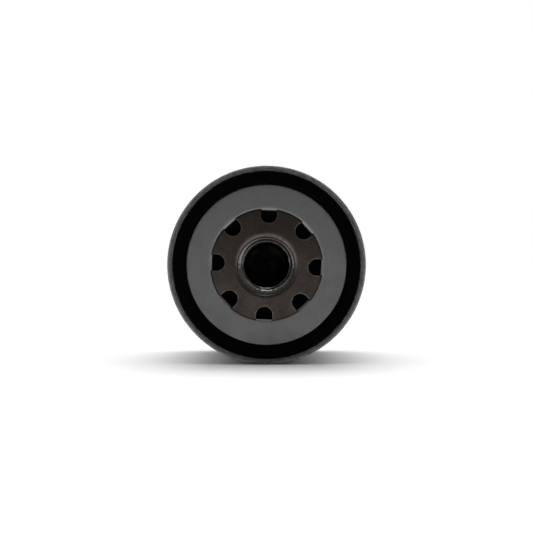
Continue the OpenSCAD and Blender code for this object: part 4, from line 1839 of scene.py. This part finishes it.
def coil_line(mean_r: float, wire: float, front: float, back: float, per_turn: int) -> np.ndarray:
    """The centre line of a coil spring with closed ends.

    The radius is constant, and the height stays level for the first and last half turn and climbs evenly
    between.

    Args:
        mean_r: Radius of the coil at mid wire.
        wire: Wire diameter.
        front: Where the spring starts along Y.
        back: Where it ends.
        per_turn: Points per turn.

    Returns:
        Points in three dimensions.
    """
    rise = back - front - wire
    turns = 1 + rise / (2.06 * wire)
    u = np.linspace(0, turns, math.ceil(turns * per_turn))
    height = front + wire / 2 + rise * np.clip((u - 0.5) / (turns - 1), 0, 1)
    return np.stack([mean_r * np.cos(2 * np.pi * u), height, mean_r * np.sin(2 * np.pi * u)], axis=1)


@dataclass
class BypassValve:
    """The relief valve in the far end cap: seat, poppet with its washer, cage, spring and stem clip."""

    port_r: float = 5.5
    seat_t: float = 0.8
    spigot_out_r: float = 12.355
    spigot_t: float = 0.9
    poppet_r: float = 8.0
    poppet_t: float = 0.8
    stem_r: float = 1.4
    stem_gap: float = 0.1
    cage_t: float = 0.45
    cage_in_r: float = 8.5
    cage_legs: int = 4
    window_extra: float = 9.0
    wire: float = 0.7
    keep: float = 0.643
    segments: int = 96

    def make_seat(self) -> bpy.types.Object:
        """The seat: a port plate with a spigot that sits in the end cap's flange.

        Returns:
            The seat.
        """
        span = Span.of("bypass_seat")
        face = span.back - self.seat_t
        inner = self.spigot_out_r - self.spigot_t
        corners = [
            [self.port_r, face],
            [inner, face],
            [inner, span.front],
            [self.spigot_out_r, span.front],
            [self.spigot_out_r, face],
            [span.radius, face],
            [span.radius, span.back],
            [self.port_r, span.back],
        ]
        outline = spaced(softened(corners, 0.18, 4), 1.2, closed=True)
        return turned_object("port_plate", outline, self.segments)

    def make_cage(self) -> bpy.types.Object:
        """The cage: a pressed cup with a flange, opened by one window between each two legs.

        Returns:
            The cage.
        """
        span = Span.of("bypass_cage")
        out_r, t = self.cage_in_r + self.cage_t, self.cage_t
        corners = [
            [self.stem_r + self.stem_gap, span.front],
            [out_r, span.front],
            [out_r, span.back - t],
            [span.radius, span.back - t],
            [span.radius, span.back],
            [self.cage_in_r, span.back],
            [self.cage_in_r, span.front + t],
            [self.stem_r + self.stem_gap, span.front + t],
        ]
        radii = np.array([0.12, 0.7, 0.35, 0.12, 0.12, 0.7, 0.35, 0.12])
        outline = spaced(softened(corners, radii, 5), 0.9, closed=True)
        obj = turned_object("valve_cage", outline, self.segments)
        half = math.radians(90 / self.cage_legs + self.window_extra)
        reach = 1.6 * out_r
        c, s = reach * math.cos(half), reach * math.sin(half)
        wedge = np.array([[1.0, 0.0], [c, s], [c, -s]])
        ends = (span.front + t + 0.8, span.back - t - 0.8)
        rows = np.array([np.stack([wedge[:, 1], np.full(3, y), wedge[:, 0]], axis=1) for y in ends])
        cutters = []
        for i in range(self.cage_legs):
            cutters.append(prism_object(f"window_{i}", about_axis(rows, 180 + i * 360 / self.cage_legs)))
        combine(obj, cutters, "DIFFERENCE")
        return obj

    def make_poppet(self) -> bpy.types.Object:
        """The poppet: a disc with a boss for the washer, on a stem with a chamfered end.

        Returns:
            The poppet.
        """
        span = Span.of("bypass_poppet")
        washer = Span.of("bypass_washer")
        face = washer.front - 0.02
        base = face - self.poppet_t
        boss = self.stem_r + 1.6
        line = joined(
            [0.0, span.front],
            [self.stem_r - 0.3, span.front],
            [self.stem_r, span.front + 0.3],
            arc((self.stem_r + 0.4, base - 0.4), 0.4, 180, 90, 5),
            arc((self.poppet_r - 0.3, base + 0.3), 0.3, -90, 0, 5),
            arc((self.poppet_r - 0.3, face - 0.3), 0.3, 0, 90, 5),
            [boss, face],
            [boss, span.back - 0.2],
            [boss - 0.2, span.back],
            [0.0, span.back],
        )
        return turned_object("poppet_disc", spaced(line, 0.8), self.segments, closed=False)

    def ring(self, name: str, node: str, inner: float, corner: float) -> bpy.types.Object:
        """A flat ring in a node's place, with rounded edges.

        Args:
            name: The object's name.
            node: The frame's node whose place it takes.
            inner: Its inner radius.
            corner: How far its edges are rounded.

        Returns:
            The ring.
        """
        span = Span.of(node)
        return turned_object(name, softened(span.section(inner), corner, 5), self.segments)

    def make_spring(self) -> bpy.types.Object:
        """The valve's spring, between the cage's floor and the poppet.

        Returns:
            The spring.
        """
        span = Span.of("bypass_spring")
        line = coil_line(span.radius - self.wire / 2, self.wire, span.front, span.back, 56)
        return wire_object("valve_coil", line, self.wire / 2, 14)

    def build(self) -> None:
        """Makes the valve."""
        place(self.make_seat(), VALVE_STEEL, "cartridge", "valve_steel", "bypass_seat")
        # The cage, the poppet and the clip take the darkened steel, which is partly painted shade deep in the
        # bore.
        place(self.make_cage(), BORE_SHADE_BLACK_STEEL, "cartridge", "valve_steel", "bypass_cage")
        place(self.make_poppet(), BORE_SHADE_BLACK_STEEL, "bypass_plunger", "valve_steel", "bypass_poppet")
        washer = self.ring("sealing_washer", "bypass_washer", self.stem_r + 1.65, 0.25)
        place(washer, VALVE_RUBBER, "bypass_plunger", "valve_rubber", "bypass_washer")
        clip = self.ring("stem_retainer", "stem_clip", self.stem_r + 0.02, 0.15)
        place(clip, BORE_SHADE_BLACK_STEEL, "bypass_plunger", "valve_steel", "stem_clip")
        spring = place(self.make_spring(), WIRE, "cartridge", "spring_steel", "bypass_spring")
        floor = Span.of("bypass_spring").front
        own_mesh(spring)


@dataclass
class ElementSpring:
    """The coil spring that presses the cartridge towards the base, and the seat that centres it."""

    wire: float = 1.8
    seat_t: float = 0.6
    seat_r: float = 15.3
    travel: float = 1.5
    segments: int = 120

    def make_seat(self) -> bpy.types.Object:
        """The spring's seat: a pressed ring with a collar inside the coil.

        Returns:
            The seat.
        """
        span = Span.of("spring_seat")
        mid = span.front + self.seat_t / 2
        collar = self.seat_r - self.seat_t / 2
        line = joined(
            [collar, span.back],
            arc((collar + 0.7, mid + 0.7), 0.7, 180, 270, 6),
            [span.radius, mid],
        )
        return turned_object("coil_seat", sheet(spaced(line, 0.8), self.seat_t), self.segments)

    def build(self) -> None:
        """Makes the spring and its seat."""
        span = Span.of("element_spring")
        line = coil_line(span.radius - self.wire / 2, self.wire, span.front, span.back, 84)
        spring = wire_object("main_coil", line, self.wire / 2, 18)
        place(spring, WIRE, "housing", "spring_steel", "element_spring")
        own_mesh(spring)
        place(self.make_seat(), VALVE_STEEL, "cartridge", "valve_steel", "spring_seat")


# ---------------------------------------------------------------- studio


@dataclass
class Lamp:
    """A lamp that points at a place: a soft rectangle, or a broad distant light where it has no size."""

    name: str
    at: tuple[float, float, float]
    towards: tuple[float, float, float]
    strength: float
    size: tuple[float, float] | None = None
    spread: float = 70.0

    def build(self) -> None:
        """Adds the lamp to the scene, out of the camera's sight."""
        data = bpy.data.lights.new(self.name, "AREA" if self.size else "SUN")
        if self.size:
            data.shape = "RECTANGLE"
            data.size, data.size_y = self.size
        else:
            data.angle = math.radians(self.spread)
        data.energy = self.strength
        lamp = bpy.data.objects.new(self.name, data)
        lamp.location = self.at
        direction = Vector(self.towards) - Vector(self.at)
        lamp.rotation_euler = direction.to_track_quat("-Z", "Y").to_euler()
        lamp.visible_camera = False
        bpy.context.scene.collection.objects.link(lamp)


@dataclass
class Studio:
    """A white table in a white room, darker on the camera's side, with soft lights overhead."""

    distance: float = 0.5
    frame_width: float = 0.2035
    seam_plane: float = 0.0039
    sensor: float = 36.0
    side: float = -0.00002
    drop: float = 0.0006
    hood: float = 0.02
    front: float = 0.15
    back: float = 0.9
    table: float = 0.93
    table_half: float = 40000.0

    def camera(self) -> None:
        """Adds the camera, level with the filter's axis, and makes it the scene's own."""
        data = bpy.data.cameras.new("camera")
        data.sensor_width = self.sensor
        data.lens = self.sensor * (self.distance - self.seam_plane) / self.frame_width
        data.clip_start, data.clip_end = 0.01, 100.0
        camera = bpy.data.objects.new("camera", data)
        camera.location = (self.side, -self.distance, -self.drop)
        camera.rotation_euler = (math.pi / 2, 0.0, 0.0)
        bpy.context.scene.collection.objects.link(camera)
        bpy.context.scene.camera = camera

    def floor(self) -> None:
        """Adds the table's top, just under the seam."""
        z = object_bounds()[0][2] / MM
        half = self.table_half
        corners = np.array([[-half, -half, z], [half, -half, z], [half, half, z], [-half, half, z]])
        obj = new_object("table_top", corners, [[0, 1, 2, 3]])
        material, _, shader = new_material("table_white")
        shader.inputs["Base Color"].default_value = (self.table, self.table, self.table, 1)
        shader.inputs["Roughness"].default_value = 1.0
        shader.inputs["Specular IOR Level"].default_value = 0.0
        obj.data.materials.append(material)
        obj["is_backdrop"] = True

    def world(self) -> None:
        """Fills the room with light: white to the camera, and for all else dim behind the camera.

        The strength climbs from hood, straight behind the camera, to front at its sides and to back behind
        the filter.
        """
        world = bpy.data.worlds.new("room")
        world.use_nodes = True
        nodes = Nodes(world.node_tree)
        world.node_tree.nodes.clear()
        split = nodes.add("ShaderNodeSeparateXYZ")
        nodes.put(nodes.add("ShaderNodeTexCoord").outputs["Generated"], split.inputs[0])
        around = nodes.stretch(split.outputs[1], -0.45, 0.5, self.front, self.back)
        hood = nodes.stretch(split.outputs[1], -0.99, -0.72, self.hood, 1.0)
        seen = nodes.add("ShaderNodeLightPath").outputs["Is Camera Ray"]
        strength = nodes.add("ShaderNodeMix", data_type="FLOAT")
        nodes.put(seen, strength.inputs[0])
        nodes.put(nodes.maths("MULTIPLY", around, hood), strength.inputs[2])
        strength.inputs[3].default_value = 1.0
        shader = nodes.add("ShaderNodeBackground")
        shader.inputs[0].default_value = (1, 1, 1, 1)
        nodes.put(strength.outputs[0], shader.inputs[1])
        nodes.put(shader.outputs[0], nodes.add("ShaderNodeOutputWorld").inputs[0])
        bpy.context.scene.world = world

    def build(self) -> None:
        """Builds the room, the table, the lights and the camera."""
        bpy.context.scene.view_settings.view_transform = "Standard"
        self.camera()
        self.floor()
        self.world()
        Lamp("key", (0.0, 0.64, 0.77), (0.0, 0.0, 0.0), 1.5, spread=50.0).build()
        Lamp("left", (-0.6, 0.2, 0.78), (0.0, 0.0, 0.0), 0.5, spread=50.0).build()
        Lamp("right", (0.6, 0.2, 0.78), (0.0, 0.0, 0.0), 0.5, spread=50.0).build()
        Lamp("overhead", (0.0, -0.25, 1.0), (0.0, 0.0, 0.0), 1.5, (0.5, 0.35)).build()


def main() -> None:
    """Builds the filter's looks around the frame."""
    logging.basicConfig(level=logging.INFO, format="%(message)s")
    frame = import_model()
    Studio().build()
    Housing().build(frame)
    GasketRing().build()
    BasePlate().build()
    AntiDrainValve().build()
    Cartridge().build(frame)
    BypassValve().build()
    ElementSpring().build()


if __name__ == "__main__":
    main()
